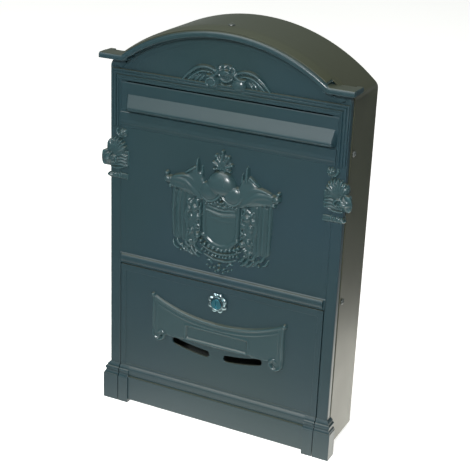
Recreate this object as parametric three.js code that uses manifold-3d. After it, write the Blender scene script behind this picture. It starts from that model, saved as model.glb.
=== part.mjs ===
// A wall mounted mailbox: a cast aluminium front with a letter flap and a lockable lower door,
// on a folded sheet steel box that is screwed to the wall through its back.
// Millimetres. x is to the right, y to the back, z up. Design zero is the middle of the object
// in x, the face of the door and pilasters in y, and the underside of the feet in z.
import * as THREE from 'three';
import { mergeVertices } from 'three/addons/utils/BufferGeometryUtils.js';
import Module from 'manifold-3d';

const wasm = await Module();
wasm.setup();

// Overall sizes
const HALF_WIDTH = 124.35; // side walls and frame
const FOOT_HALF_WIDTH = 130;
const BACK_Y = 68; // outer face of the back panel, which lies on the wall
const EAVE_Z = 366; // where a side wall meets the arched roof
const ROOF_RISE = 49.4; // from the eaves to the top of the arch
const ROOF_RADIUS = (HALF_WIDTH ** 2 + ROOF_RISE ** 2) / (2 * ROOF_RISE);
const ROOF_CENTRE_Z = EAVE_Z + ROOF_RISE - ROOF_RADIUS;
const MOUNT_Z = 200; // height of the wall mount's point, which is the part's origin

// Working clearances
const GAP = 0.3; // between pieces that touch
const BEND = 14; // straight steps in each curved stretch
const HUGE = 500; // beyond every face, for cutting boxes

// Sheet steel box
const SHEET = 1.0;
const BODY_BOTTOM = 7;
const SHEET_FRONT = 7.4; // front edge of the side walls
const TONGUE_FRONT = 1; // the roof reaches further forward, over the cast hood
const TONGUE_HALF_WIDTH = 104;
const TRAY_FLANGE_FRONT = 57;
const WALL_HOLE_RADIUS = 3;
const WALL_HOLE_X = 85;
const WALL_HOLE_Z = [60, 305];

// Cast front
const PLATE_BACK = 3;
const FIELD_FACE = 1; // sunk panels lie this far behind the pilaster face
const RIM_BACK = 7.1;
const RIM_WALL = 3.6;
const SKIRT_BACK = 21; // the skirt reaches inside the sheet box and takes the screws
const SKIRT_BOTTOM = 24;
const PILASTER_INNER_X = 107;

// Hood over the front
const HOOD_FRONT = -12;
const HOOD_LIP = 5.5;
const HOOD_TOP = 412;
const HOOD_RADIUS = 179;
const EAR_HALF_WIDTH = 131;
const EAR_TOP = 377;
const EAR_BOTTOM = 371.8;

// Letter flap
const SLOT_HALF_WIDTH = 114;
const SLOT_BOTTOM = 320;
const SLOT_TOP = 350.3;
const FLAP_HALF_WIDTH = 113.2;
const FLAP_BOTTOM = 320.6;
const FLAP_AXIS = { y: 2.9, z: 346.9 };
const FLAP_BARREL_RADIUS = 2.8;
const FLAP_ROD_RADIUS = 1.2;
const FLAP_ROD_HALF_LENGTH = 119.2;
const LUG_OUTER_X = 117.6;
const ROD_CLIP_RADIUS = 2.4;

// Lower door
const DOOR_HALF_WIDTH = 112;
const DOOR_TOP = 157.6;
const DOOR_BOTTOM = 3.5;
const DOOR_THICKNESS = 2.6;
const DOOR_RIM = 2.4;
const DOOR_RIM_BACK = 8.8;
const DOORWAY_HALF_WIDTH = 112.65;
const DOORWAY_TOP = 158.4;
const DOOR_AXIS = { y: -1, z: 8 };
const DOOR_PIN_RADIUS = 1.8;

// Feet and plinth
const FOOT_FRONT = -5.5;
const FOOT_TOP = 29.7;
const FOOT_INNER_X = 100.7;
const DOOR_FOOT_BACK = 6;
const PLINTH_FRONT = -4;
const BAND_FRONT = -2.4;
const PLINTH_TOP = 32;
const BAND_TOP = 42;

// Lock
const LOCK_Z = 139.5;
const LOCK_BARREL_RADIUS = 7.6;
const LOCK_PLUG_RADIUS = 5.3;
const LOCK_TAIL_HALF = 2.6;
const CAM_FRONT = 14.5;
const CAM_THICKNESS = 1.5;
const CAM_REACH = 18;
const CAM_HALF_WIDTH = 6;

// Screws that hold the sheet box to the cast front
const SCREW_HEAD_RADIUS = 3.1;
const SCREW_HEAD_HEIGHT = 1.6;
const SCREW_RADIUS = 1.5;
const SCREW_LENGTH = 6;
const SIDE_SCREW_Y = 15;
const SIDE_SCREW_Z = { upper: 312.6, lower: 165 };
const ROOF_SCREW_Y = 8;

const CAST_PAINT = new THREE.MeshStandardMaterial({ color: 0x47575f, roughness: 0.42, metalness: 0.1 });
const SHEET_PAINT = new THREE.MeshStandardMaterial({ color: 0x42473d, roughness: 0.48, metalness: 0.1 });
const CHROME = new THREE.MeshStandardMaterial({ color: 0xc9d6d8, roughness: 0.12, metalness: 1 });
const ZINC = new THREE.MeshStandardMaterial({ color: 0xa9abab, roughness: 0.4, metalness: 1 });

// ---- Solids --------------------------------------------------------------------------------

/** A closed geometry as a solid that can be joined and cut. */
function solid(geometry) {
  const bare = geometry.clone();
  bare.deleteAttribute('normal');
  bare.deleteAttribute('uv');
  const merged = mergeVertices(bare, 1e-4);
  return new wasm.Manifold(new wasm.Mesh({
    numProp: 3,
    vertProperties: Float32Array.from(merged.attributes.position.array),
    triVerts: Uint32Array.from(merged.index.array),
  }));
}

/** All the solids joined into one. */
function union(...solids) {
  return solids.reduce((sum, next) => sum.add(next));
}

/** A box between two limits along each axis, given in either order. */
function box(xa, xb, ya, yb, za, zb) {
  const geometry = new THREE.BoxGeometry(Math.abs(xb - xa), Math.abs(yb - ya), Math.abs(zb - za));
  geometry.translate((xa + xb) / 2, (ya + yb) / 2, (za + zb) / 2);
  return solid(geometry);
}

/** A shape drawn in x and z, given depth from y0 to y1. */
function alongY(shape, y0, y1, curveSegments = BEND) {
  const settings = { depth: y1 - y0, bevelEnabled: false, curveSegments };
  const geometry = new THREE.ExtrudeGeometry(shape, settings);
  geometry.rotateX(Math.PI / 2);
  geometry.translate(0, y1, 0);
  return solid(geometry);
}

/** A shape drawn in y and z, given width from x0 to x1. */
function alongX(shape, x0, x1, curveSegments = 5) {
  const settings = { depth: x1 - x0, bevelEnabled: false, curveSegments };
  const geometry = new THREE.ExtrudeGeometry(shape, settings);
  const toY = new THREE.Vector3(0, 1, 0);
  const toZ = new THREE.Vector3(0, 0, 1);
  const toX = new THREE.Vector3(1, 0, 0);
  geometry.applyMatrix4(new THREE.Matrix4().makeBasis(toY, toZ, toX));
  geometry.translate(x0, 0, 0);
  return solid(geometry);
}

/** A round bar along x, centred on a point in y and z. */
function barX(radius, xa, xb, at, segments = 16) {
  const geometry = new THREE.CylinderGeometry(radius, radius, Math.abs(xb - xa), segments);
  geometry.rotateZ(Math.PI / 2);
  geometry.translate((xa + xb) / 2, at.y, at.z);
  return solid(geometry);
}

/** A round bar along y, centred on a point in x and z. */
function barY(radius, ya, yb, at, segments = 24) {
  const geometry = new THREE.CylinderGeometry(radius, radius, Math.abs(yb - ya), segments);
  geometry.translate(at.x, (ya + yb) / 2, at.z);
  return solid(geometry);
}

/** A closed outline through a list of points. */
function outline(points) {
  return new THREE.Shape(points.map(([a, b]) => new THREE.Vector2(a, b)));
}

/** The front view of the box, set in by an inset, from a bottom height up to the arched roof. */
function archOutline(inset, bottom) {
  const half = HALF_WIDTH - inset;
  const radius = ROOF_RADIUS - inset;
  const rise = Math.sqrt(radius ** 2 - half ** 2);
  const angle = Math.atan2(rise, half);
  const shape = new THREE.Shape();
  shape.moveTo(-half, bottom);
  shape.lineTo(half, bottom);
  shape.lineTo(half, ROOF_CENTRE_Z + rise);
  shape.absarc(0, ROOF_CENTRE_Z, radius, angle, Math.PI - angle, false);
  shape.lineTo(-half, bottom);
  return shape;
}

/** The walls and roof left between two insets of the arch outline, above a bottom height. */
function archShell(outerInset, innerInset, bottom, y0, y1) {
  const outer = alongY(archOutline(outerInset, 0), y0, y1);
  const inner = alongY(archOutline(innerInset, -5), y0 - 1, y1 + 1);
  return outer.subtract(inner).intersect(box(-HUGE, HUGE, -HUGE, HUGE, bottom, HUGE));
}

/** A named piece of the mailbox. */
function piece(name, body, material) {
  const mesh = body.getMesh();
  const geometry = new THREE.BufferGeometry();
  geometry.setAttribute('position', new THREE.BufferAttribute(mesh.vertProperties, 3));
  geometry.setIndex(new THREE.BufferAttribute(mesh.triVerts, 1));
  geometry.computeVertexNormals();
  const object = new THREE.Mesh(geometry, material);
  object.name = name;
  return object;
}

// ---- Cast front ----------------------------------------------------------------------------

/** Half the width of a hood arc at a height, for an arc whose top is at arcTop. */
function hoodHalfWidth(arcTop, z) {
  const centre = arcTop - HOOD_RADIUS;
  return Math.sqrt(HOOD_RADIUS ** 2 - (z - centre) ** 2);
}

/** The arched lip and the two ears that overhang the front. */
function hood() {
  const underTop = HOOD_TOP - HOOD_LIP;
  const topX = hoodHalfWidth(HOOD_TOP, EAR_TOP);
  const underX = hoodHalfWidth(underTop, EAR_BOTTOM);
  const topCentre = HOOD_TOP - HOOD_RADIUS;
  const underCentre = underTop - HOOD_RADIUS;
  const topAngle = Math.atan2(EAR_TOP - topCentre, topX);
  const underAngle = Math.atan2(EAR_BOTTOM - underCentre, underX);
  const shape = new THREE.Shape();
  shape.moveTo(underX, EAR_BOTTOM);
  shape.lineTo(EAR_HALF_WIDTH, EAR_BOTTOM);
  shape.lineTo(EAR_HALF_WIDTH, EAR_TOP);
  shape.lineTo(topX, EAR_TOP);
  shape.absarc(0, topCentre, HOOD_RADIUS, topAngle, Math.PI - topAngle, false);
  shape.lineTo(-EAR_HALF_WIDTH, EAR_TOP);
  shape.lineTo(-EAR_HALF_WIDTH, EAR_BOTTOM);
  shape.lineTo(-underX, EAR_BOTTOM);
  shape.absarc(0, underCentre, HOOD_RADIUS, Math.PI - underAngle, underAngle, true);
  const crest = archShell(0, 8, EAR_TOP, HOOD_FRONT / 2, TONGUE_FRONT - GAP);
  return alongY(shape, HOOD_FRONT, RIM_BACK - 5).add(crest);
}

/** The lower end of a hood ear, which wraps round the corner of the pilaster. */
function ear(side) {
  return box(side * PILASTER_INNER_X, side * EAR_HALF_WIDTH, 0, RIM_BACK, EAR_BOTTOM, EAR_TOP);
}

/** One stepped pilaster capital, wrapped round the front corner. */
function capital(side) {
  const steps = [
    { x: 128.4, inner: 101, front: -4, z: [249, 255] },
    { x: 126.8, inner: 102.5, front: -2.5, z: [255, 262] },
    { x: 133.4, inner: 100, front: -9, z: [264.5, 272] },
    { x: 130.4, inner: 101, front: -6, z: [262, 264.5] },
    { x: 129, inner: 104, front: -4.5, z: [272, 288] },
    { x: 126, inner: 105, front: -3, z: [288, 301] },
  ];
  return union(...steps.map((s) => box(side * s.inner, side * s.x, s.front, RIM_BACK, s.z[0], s.z[1])));
}

/** The frame's half of a foot block, hollow behind, with the wall that takes the door's pin. */
function frameFoot(side) {
  const inner = DOORWAY_HALF_WIDTH;
  const block = union(
    box(side * inner, side * FOOT_HALF_WIDTH, FOOT_FRONT, RIM_BACK, 0, FOOT_TOP),
    box(side * inner, side * 128.4, FOOT_FRONT + 1.4, RIM_BACK, FOOT_TOP, 36.5),
    box(side * inner, side * 126.4, FOOT_FRONT + 3, RIM_BACK, 36.5, BAND_TOP),
    box(side * inner, side * (inner + 4.4), FOOT_FRONT, 11, 0, FOOT_TOP),
  );
  const hollow = box(side * (inner + 4.4), side * (FOOT_HALF_WIDTH - 3), FOOT_FRONT + 3, 12, 3, FOOT_TOP - 3);
  const pinHole = barX(DOOR_PIN_RADIUS + GAP, side * (inner - 1), side * (inner + 6), DOOR_AXIS);
  return block.subtract(hollow).subtract(pinHole).add(levelStop(side));
}

/** The lug behind the door's foot half, which that half comes up against when the door is level. */
function levelStop(side) {
  const front = DOOR_FOOT_BACK + 0.4;
  const clearOfLevelDoor = DOOR_AXIS.z + (DOOR_FOOT_BACK - DOOR_AXIS.y) + 0.5;
  const top = clearOfLevelDoor + 7;
  return box(side * (DOOR_HALF_WIDTH - 6), side * (DOORWAY_HALF_WIDTH + 3), front, front + 3, clearOfLevelDoor, top);
}

/** A lug behind the plate that holds one end of the flap's rod. */
function rodLug(side) {
  return box(side * SLOT_HALF_WIDTH, side * LUG_OUTER_X, PLATE_BACK - 0.5, 7.5, 342, 352);
}

/** The ledges behind the door's edge that it closes against, and the walls that carry them. */
function doorStop() {
  const wallX = DOORWAY_HALF_WIDTH + 2.8;
  const ledgeX = DOORWAY_HALF_WIDTH - 5.6;
  const ledge = [9.3, 11.3];
  const sides = [-1, 1].flatMap((side) => [
    box(side * DOORWAY_HALF_WIDTH, side * wallX, 1, ledge[1], 28, DOORWAY_TOP + 2.8),
    box(side * ledgeX, side * wallX, ledge[0], ledge[1], 32, DOORWAY_TOP + 2.8),
  ]);
  return union(
    ...sides,
    box(-wallX, wallX, 2, ledge[1], DOORWAY_TOP, DOORWAY_TOP + 2.8),
    box(-wallX, wallX, ledge[0], ledge[1], DOORWAY_TOP - 5.6, DOORWAY_TOP + 2.8),
  );
}

/** A shield outline with a flat top and a pointed foot. */
function shieldOutline(halfWidth, top, foot) {
  const shoulder = foot + (top - foot) * 0.45;
  const shape = new THREE.Shape();
  shape.moveTo(-halfWidth, top);
  shape.lineTo(-halfWidth, shoulder);
  shape.quadraticCurveTo(-halfWidth * 0.9, foot + 5, 0, foot);
  shape.quadraticCurveTo(halfWidth * 0.9, foot + 5, halfWidth, shoulder);
  shape.lineTo(halfWidth, top);
  shape.lineTo(-halfWidth, top);
  return shape;
}

/** A plain heraldic relief: shield, helm, finial, two mantle wings, hanging folds and a ribbon. */
function crestRelief() {
  const face = FIELD_FACE + 0.5;
  const wing = (side) => alongY(outline([
    [side * 6, 246], [side * 6, 262], [side * 24, 262], [side * 34, 268],
    [side * 56, 266], [side * 60, 256], [side * 50, 250], [side * 24, 243],
  ]), -3.4, face, 1);
  const folds = (side) => alongY(outline([
    [side * 30, 246], [side * 55, 252], [side * 53, 204], [side * 44, 192], [side * 30, 186],
  ]), -1.6, face, 1);
  const helm = new THREE.SphereGeometry(1, 16, 8);
  helm.scale(12.5, 5.5, 14);
  helm.translate(0, 0.6, 265);
  const ribbon = outline([[-34, 184], [34, 184], [30, 172], [-30, 172]]);
  return union(
    alongY(shieldOutline(21, 247, 190), -3, face, 6),
    wing(-1), wing(1), folds(-1), folds(1),
    solid(helm),
    alongY(outline([[-8, 276], [-11, 293], [0, 298], [11, 293], [8, 276]]), -2.6, face, 1),
    alongY(ribbon, -2, face, 1),
    alongY(outline([[-24, 194], [24, 194], [18, 182], [-18, 182]]), -1.4, face, 1),
  );
}

/** The scroll of leaves in the arched field: a shell between two rising S bands. */
function scrollRelief() {
  const face = FIELD_FACE + 0.5;
  const band = (side) => {
    const shape = new THREE.Shape();
    shape.moveTo(side * 44, 358);
    shape.quadraticCurveTo(side * 34, 369, side * 24, 371);
    shape.quadraticCurveTo(side * 12, 373, 0, 366);
    shape.lineTo(0, 376);
    shape.quadraticCurveTo(side * 14, 379, side * 26, 375);
    shape.quadraticCurveTo(side * 38, 371, side * 47, 358);
    return alongY(shape, -1.6, face, 6);
  };
  const shell = outline([[-11, 366], [-12, 378], [0, 383], [12, 378], [11, 366], [0, 360]]);
  const volute = (side) => barY(6.5, -2.4, face, { x: side * 13, z: 364 }, 14);
  return union(band(-1), band(1), alongY(shell, -3, face, 1), volute(-1), volute(1));
}

/** The raised fillets round the letter slot and the rails above and below the large panel. */
function frontMouldings() {
  const slotFrame = box(-119, 119, -1.2, 1.5, 307, 361);
  const bead = barX(3.3, -108, 108, { y: 0.6, z: 164.8 }, 14);
  return slotFrame.add(bead);
}

/** The cast front: arch, hood, pilasters, slot frame, large panel, door surround and feet. */
function frontFrame() {
  const rim = alongY(archOutline(0, BAND_TOP - 1), 0, RIM_BACK);
  const rimHollow = alongY(archOutline(RIM_WALL, 0), PLATE_BACK, RIM_BACK + 1);
  const skirt = archShell(SHEET + GAP, RIM_WALL, SKIRT_BOTTOM, PLATE_BACK, SKIRT_BACK);
  const panelField = box(-PILASTER_INNER_X, PILASTER_INNER_X, -1, FIELD_FACE, 168, 303);
  const archField = alongY(archOutline(14, 300), -1, FIELD_FACE)
    .intersect(box(-HUGE, HUGE, -HUGE, HUGE, 361.5, HUGE));
  const slot = box(-SLOT_HALF_WIDTH, SLOT_HALF_WIDTH, -3, 9, SLOT_BOTTOM, SLOT_TOP);
  const doorway = box(-DOORWAY_HALF_WIDTH, DOORWAY_HALF_WIDTH, -9, 9.2, -1, DOORWAY_TOP);
  const tongueCut = archShell(-1, SHEET + GAP, EAR_TOP, TONGUE_FRONT - GAP, RIM_BACK + 1)
    .intersect(box(-TONGUE_HALF_WIDTH - GAP, TONGUE_HALF_WIDTH + GAP, 0, 20, EAR_TOP, 450));
  const flapLedge = box(-116, 116, PLATE_BACK - 0.2, 5, 314, 323);
  const plate = rim.subtract(rimHollow).subtract(panelField).subtract(archField);
  let frame = union(plate, skirt, hood(), frontMouldings(), crestRelief(), scrollRelief());
  frame = frame.subtract(slot).subtract(doorway).subtract(tongueCut);
  frame = union(frame, doorStop(), flapLedge);
  for (const side of [-1, 1]) {
    frame = union(frame, ear(side), capital(side), frameFoot(side), rodLug(side));
    const boreEnds = [side * (SLOT_HALF_WIDTH - 1), side * (LUG_OUTER_X + 2)];
    const clipRoom = [side * LUG_OUTER_X, side * (LUG_OUTER_X + 2)];
    frame = frame.subtract(barX(FLAP_ROD_RADIUS + GAP, ...boreEnds, FLAP_AXIS));
    frame = frame.subtract(barX(ROD_CLIP_RADIUS + GAP, ...clipRoom, FLAP_AXIS));
    for (const z of Object.values(SIDE_SCREW_Z)) {
      frame = frame.subtract(barX(SCREW_RADIUS + GAP, side * 117, side * 125, { y: SIDE_SCREW_Y, z }));
    }
  }
  return frame.subtract(roofBar(SCREW_RADIUS + GAP, 405, 420));
}

/** An upright round bar on the roof screw's line. */
function roofBar(radius, z0, z1) {
  const geometry = new THREE.CylinderGeometry(radius, radius, z1 - z0, 16);
  geometry.rotateX(Math.PI / 2);
  geometry.translate(0, ROOF_SCREW_Y, (z0 + z1) / 2);
  return solid(geometry);
}

// ---- Sheet steel box -----------------------------------------------------------------------

/** Side walls and roof, folded from one sheet, with the tongue that laps over the hood. */
function bodyWrap() {
  let wrap = archShell(0, SHEET, BODY_BOTTOM, SHEET_FRONT, BACK_Y);
  const tongue = archShell(0, SHEET, EAR_TOP, TONGUE_FRONT, SHEET_FRONT + 1);
  wrap = wrap.add(tongue.intersect(box(-TONGUE_HALF_WIDTH, TONGUE_HALF_WIDTH, 0, 20, EAR_TOP, 450)));
  for (const side of [-1, 1]) {
    for (const z of Object.values(SIDE_SCREW_Z)) {
      wrap = wrap.subtract(barX(SCREW_RADIUS + GAP, side * 120, side * 127, { y: SIDE_SCREW_Y, z }));
    }
  }
  return wrap.subtract(roofBar(SCREW_RADIUS + GAP, 405, 420));
}

/** The back panel: a shallow tray whose flange sits inside the wrap, with four wall holes. */
function backPanel() {
  const fit = SHEET + GAP;
  const tray = alongY(archOutline(fit, BODY_BOTTOM), TRAY_FLANGE_FRONT, BACK_Y);
  const hollow = archOutline(fit + SHEET, BODY_BOTTOM + SHEET);
  let panel = tray.subtract(alongY(hollow, TRAY_FLANGE_FRONT - 1, BACK_Y - SHEET));
  for (const x of [-WALL_HOLE_X, WALL_HOLE_X]) {
    for (const z of WALL_HOLE_Z) {
      panel = panel.subtract(barY(WALL_HOLE_RADIUS, 60, 70, { x, z }));
    }
  }
  return panel;
}

/** The floor of the box, with an upturned flange along each side wall. */
function bottomPanel() {
  const half = HALF_WIDTH - SHEET - GAP;
  const z0 = BODY_BOTTOM + SHEET + GAP;
  const back = BACK_Y - SHEET - GAP;
  const floorBack = TRAY_FLANGE_FRONT - GAP;
  const flange = (side) => box(side * half, side * (half - SHEET), 22, floorBack, z0, z0 + 12);
  return union(
    box(-half, half, 13, floorBack, z0, z0 + SHEET),
    box(-(half - SHEET - GAP), half - SHEET - GAP, 13, back, z0, z0 + SHEET),
    flange(-1),
    flange(1),
  );
}

// ---- Letter flap ---------------------------------------------------------------------------

/** The flap: a barrel round its rod, a flat upper part and a wedge to lift it by, open behind. */
function mailFlap() {
  const front = [[0.3, 336.5], [-7, 325], [-6.6, 322.8], [-4, FLAP_BOTTOM]];
  const wall = outline([
    [0.3, FLAP_AXIS.z], ...front, [-1.6, FLAP_BOTTOM], [-4.2, 324.5], [2.7, 334.5], [2.7, FLAP_AXIS.z],
  ]);
  const endWall = outline([[2.7, 336.5], ...front, [2.7, FLAP_BOTTOM]]);
  const half = FLAP_HALF_WIDTH;
  return union(
    alongX(wall, -half, half),
    alongX(endWall, -half, 2 - half),
    alongX(endWall, half - 2, half),
    barX(FLAP_BARREL_RADIUS, -half, half, FLAP_AXIS),
    box(-half, half, -4, 2.7, FLAP_BOTTOM, FLAP_BOTTOM + 1.6),
  ).subtract(barX(FLAP_ROD_RADIUS + GAP, -half - 1, half + 1, FLAP_AXIS));
}

/** The steel rod that the flap turns on. */
function flapRod() {
  return barX(FLAP_ROD_RADIUS, -FLAP_ROD_HALF_LENGTH, FLAP_ROD_HALF_LENGTH, FLAP_AXIS);
}

/** A push-on ring that keeps the rod in its lug. */
function rodClip(side) {
  const inner = LUG_OUTER_X + GAP;
  const outer = inner + 0.8;
  const ring = barX(ROD_CLIP_RADIUS, side * inner, side * outer, FLAP_AXIS);
  return ring.subtract(barX(FLAP_ROD_RADIUS + GAP, side * (inner - 1), side * (outer + 1), FLAP_AXIS));
}

// ---- Lower door ----------------------------------------------------------------------------

/** A band bent upwards at both ends, from x0 to x1, with round ends. */
function smileSlot(x0, x1, middleZ, bendRadius, height) {
  const centre = middleZ + bendRadius;
  const angleAt = (x) => -Math.PI / 2 + Math.asin(x / bendRadius);
  const [a0, a1] = [angleAt(x0), angleAt(x1)];
  const half = height / 2;
  const shape = new THREE.Shape();
  const endAt = (a) => [bendRadius * Math.cos(a), centre + bendRadius * Math.sin(a)];
  shape.absarc(0, centre, bendRadius + half, a0, a1, false);
  shape.absarc(...endAt(a1), half, a1, a1 + Math.PI, false);
  shape.absarc(0, centre, bendRadius - half, a1, a0, true);
  shape.absarc(...endAt(a0), half, a0 + Math.PI, a0 + 2 * Math.PI, false);
  return shape;
}

/** The raised swag across the door, with a sunk name field. */
function swag() {
  const half = 73;
  const topEnd = 131;
  const bendRadius = 170;
  const centre = 114.5 + bendRadius;
  const startAngle = Math.atan2(topEnd - centre, -half);
  const endAngle = Math.atan2(topEnd - centre, half);
  const shape = new THREE.Shape();
  shape.absarc(0, centre, bendRadius, startAngle, endAngle, false);
  shape.lineTo(half, 84);
  shape.lineTo(60, 84);
  shape.lineTo(60, 93);
  shape.quadraticCurveTo(0, 84, -60, 93);
  shape.lineTo(-60, 84);
  shape.lineTo(-half, 84);
  const nameField = box(-35, 35, -3, 0.4, 91.5, 107);
  return alongY(shape, -1.6, 1, 8).subtract(nameField);
}

/** The door's half of a foot block, bored for the hinge pin. */
function doorFoot(side) {
  const outer = side * DOOR_HALF_WIDTH;
  const inner = side * FOOT_INNER_X;
  return union(
    box(inner, outer, FOOT_FRONT, DOOR_FOOT_BACK, 0, FOOT_TOP),
    box(inner, outer, FOOT_FRONT + 1.4, 4, FOOT_TOP, 36.5),
    box(inner, outer, FOOT_FRONT + 3, 3, 36.5, BAND_TOP),
  ).subtract(barX(DOOR_PIN_RADIUS + GAP, side * (FOOT_INNER_X - 1), side * (DOOR_HALF_WIDTH + 1), DOOR_AXIS));
}

/** The door: panel, stiffening rim, plinth, foot halves, swag, view slots and lock hole. */
function lowerDoor() {
  const section = outline([
    [PLINTH_FRONT, DOOR_BOTTOM], [PLINTH_FRONT, 30.5], [BAND_FRONT, PLINTH_TOP], [BAND_FRONT, 40],
    [0, BAND_TOP], [0, DOOR_TOP], [DOOR_THICKNESS, DOOR_TOP], [DOOR_THICKNESS, 40],
    [0.2, 37], [0.2, 30.5], [-1.4, 28], [-1.4, 6.2], [5, 6.2], [5, DOOR_BOTTOM],
  ]);
  const rimFront = 1;
  const half = DOOR_HALF_WIDTH;
  let door = union(
    alongX(section, -FOOT_INNER_X - 1, FOOT_INNER_X + 1),
    box(-half, half, 0, DOOR_THICKNESS, 36, DOOR_TOP),
    box(-half, half, rimFront, DOOR_RIM_BACK, DOOR_TOP - DOOR_RIM, DOOR_TOP),
    swag(),
  );
  for (const side of [-1, 1]) {
    const rim = box(side * half, side * (half - DOOR_RIM), rimFront, DOOR_RIM_BACK, 32, DOOR_TOP);
    door = union(door, rim, doorFoot(side));
    const ends = side < 0 ? [-47, -11.5] : [11.5, 47];
    door = door.subtract(alongY(smileSlot(...ends, 79.3, 187, 7.3), -5, 5, 5));
  }
  for (const side of [-1, 1]) {
    const pin = [side * 98, side * (DOOR_HALF_WIDTH + 1)];
    door = door.subtract(barX(DOOR_PIN_RADIUS + GAP, ...pin, DOOR_AXIS));
    door = door.subtract(barX(3.4, side * 96, side * FOOT_INNER_X, DOOR_AXIS));
  }
  return door.subtract(barY(LOCK_BARREL_RADIUS + GAP, -5, 5, { x: 0, z: LOCK_Z }));
}

/** A headed pin that joins a foot half on the door to the one on the frame. */
function doorPin(side) {
  const shank = barX(DOOR_PIN_RADIUS, side * (FOOT_INNER_X - GAP - 1), side * (DOORWAY_HALF_WIDTH + 5), DOOR_AXIS);
  const head = barX(3, side * (FOOT_INNER_X - GAP - 1.4), side * (FOOT_INNER_X - GAP), DOOR_AXIS);
  return shank.add(head);
}

// ---- Lock ----------------------------------------------------------------------------------

const LOCK_AT = { x: 0, z: LOCK_Z };

/** The lobed collar between the lock's flange and the door. */
function lockRosette() {
  const lobes = 8;
  const points = [];
  for (let i = 0; i < lobes * 6; i += 1) {
    const angle = (2 * Math.PI * i) / (lobes * 6);
    const radius = 10.6 + 1.2 * Math.abs(Math.cos((lobes * angle) / 2));
    points.push([radius * Math.cos(angle), LOCK_Z + radius * Math.sin(angle)]);
  }
  const ring = alongY(outline(points), -2.2, -GAP);
  return ring.subtract(barY(LOCK_BARREL_RADIUS + GAP, -4, 2, LOCK_AT));
}

/** The flanged barrel of the lock. */
function lockBody() {
  const shell = barY(LOCK_BARREL_RADIUS, -3, 13.8, LOCK_AT).add(barY(9, -3.7, -2.5, LOCK_AT));
  return shell.subtract(barY(LOCK_PLUG_RADIUS + GAP, -5, 15, LOCK_AT));
}

/** The hexagon nut that clamps the barrel to the door. */
function lockNut() {
  const nut = barY(12, DOOR_THICKNESS + GAP, 5.8, LOCK_AT, 6);
  return nut.subtract(barY(LOCK_BARREL_RADIUS + GAP, 0, 8, LOCK_AT));
}

/** The plug that the key turns: keyway in front, square tail and thread behind. */
function lockPlug() {
  const square = CAM_FRONT + CAM_THICKNESS + 0.2;
  const half = LOCK_TAIL_HALF;
  const plug = union(
    barY(LOCK_PLUG_RADIUS, -4, CAM_FRONT - GAP, LOCK_AT),
    box(-half, half, 13, square, LOCK_Z - half, LOCK_Z + half),
    barY(2.2, 14, 20.6, LOCK_AT, 16),
  );
  return plug.subtract(box(-0.8, 0.8, -5, 1, LOCK_Z - 3.6, LOCK_Z + 3.6));
}

/** The cam, which lies to the right when the door can open and stands up when it is locked. */
function lockCam() {
  const shape = new THREE.Shape();
  shape.moveTo(0, LOCK_Z - CAM_HALF_WIDTH);
  shape.lineTo(CAM_REACH, LOCK_Z - CAM_HALF_WIDTH);
  shape.absarc(CAM_REACH, LOCK_Z, CAM_HALF_WIDTH, -Math.PI / 2, Math.PI / 2, false);
  shape.lineTo(0, LOCK_Z + CAM_HALF_WIDTH);
  shape.absarc(0, LOCK_Z, CAM_HALF_WIDTH, Math.PI / 2, (3 * Math.PI) / 2, false);
  const hole = LOCK_TAIL_HALF + GAP;
  const plate = alongY(shape, CAM_FRONT, CAM_FRONT + CAM_THICKNESS, 6);
  return plate.subtract(box(-hole, hole, 10, 20, LOCK_Z - hole, LOCK_Z + hole));
}

/** A ring or nut on the plug's thread. */
function tailRing(radius, y0, y1, segments) {
  return barY(radius, y0, y1, LOCK_AT, segments).subtract(barY(2.5, y0 - 1, y1 + 1, LOCK_AT, 16));
}

// ---- Screws --------------------------------------------------------------------------------

/** A pan head screw pointing down along -z from the underside of its head at the origin. */
function panScrew() {
  const r = SCREW_HEAD_RADIUS;
  const h = SCREW_HEAD_HEIGHT;
  const profile = [
    [0, -SCREW_LENGTH], [SCREW_RADIUS, -SCREW_LENGTH], [SCREW_RADIUS, 0], [r, 0],
    [r, h * 0.4], [r * 0.85, h * 0.8], [r * 0.5, h], [0, h],
  ];
  const geometry = new THREE.LatheGeometry(profile.map(([a, b]) => new THREE.Vector2(a, b)), 16);
  geometry.rotateX(Math.PI / 2);
  return solid(geometry);
}

/** A screw piece stood at a point and turned about y, so that its head faces outwards. */
function placedScrew(name, position, turn) {
  const screw = piece(name, panScrew(), ZINC);
  screw.position.set(...position);
  screw.rotation.y = turn;
  return screw;
}

/** The five screws that hold the cast front to the sheet box. */
function frameScrews() {
  const screws = [placedScrew('frame_screw_roof', [0, ROOF_SCREW_Y, EAVE_Z + ROOF_RISE + GAP], 0)];
  for (const [name, side] of [['left', -1], ['right', 1]]) {
    for (const [level, z] of Object.entries(SIDE_SCREW_Z)) {
      const position = [side * (HALF_WIDTH + GAP), SIDE_SCREW_Y, z];
      screws.push(placedScrew(`frame_screw_${name}_${level}`, position, (side * Math.PI) / 2));
    }
  }
  return screws;
}

// ---- Assembly ------------------------------------------------------------------------------

const tailStart = CAM_FRONT + CAM_THICKNESS + 0.5;

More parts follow.
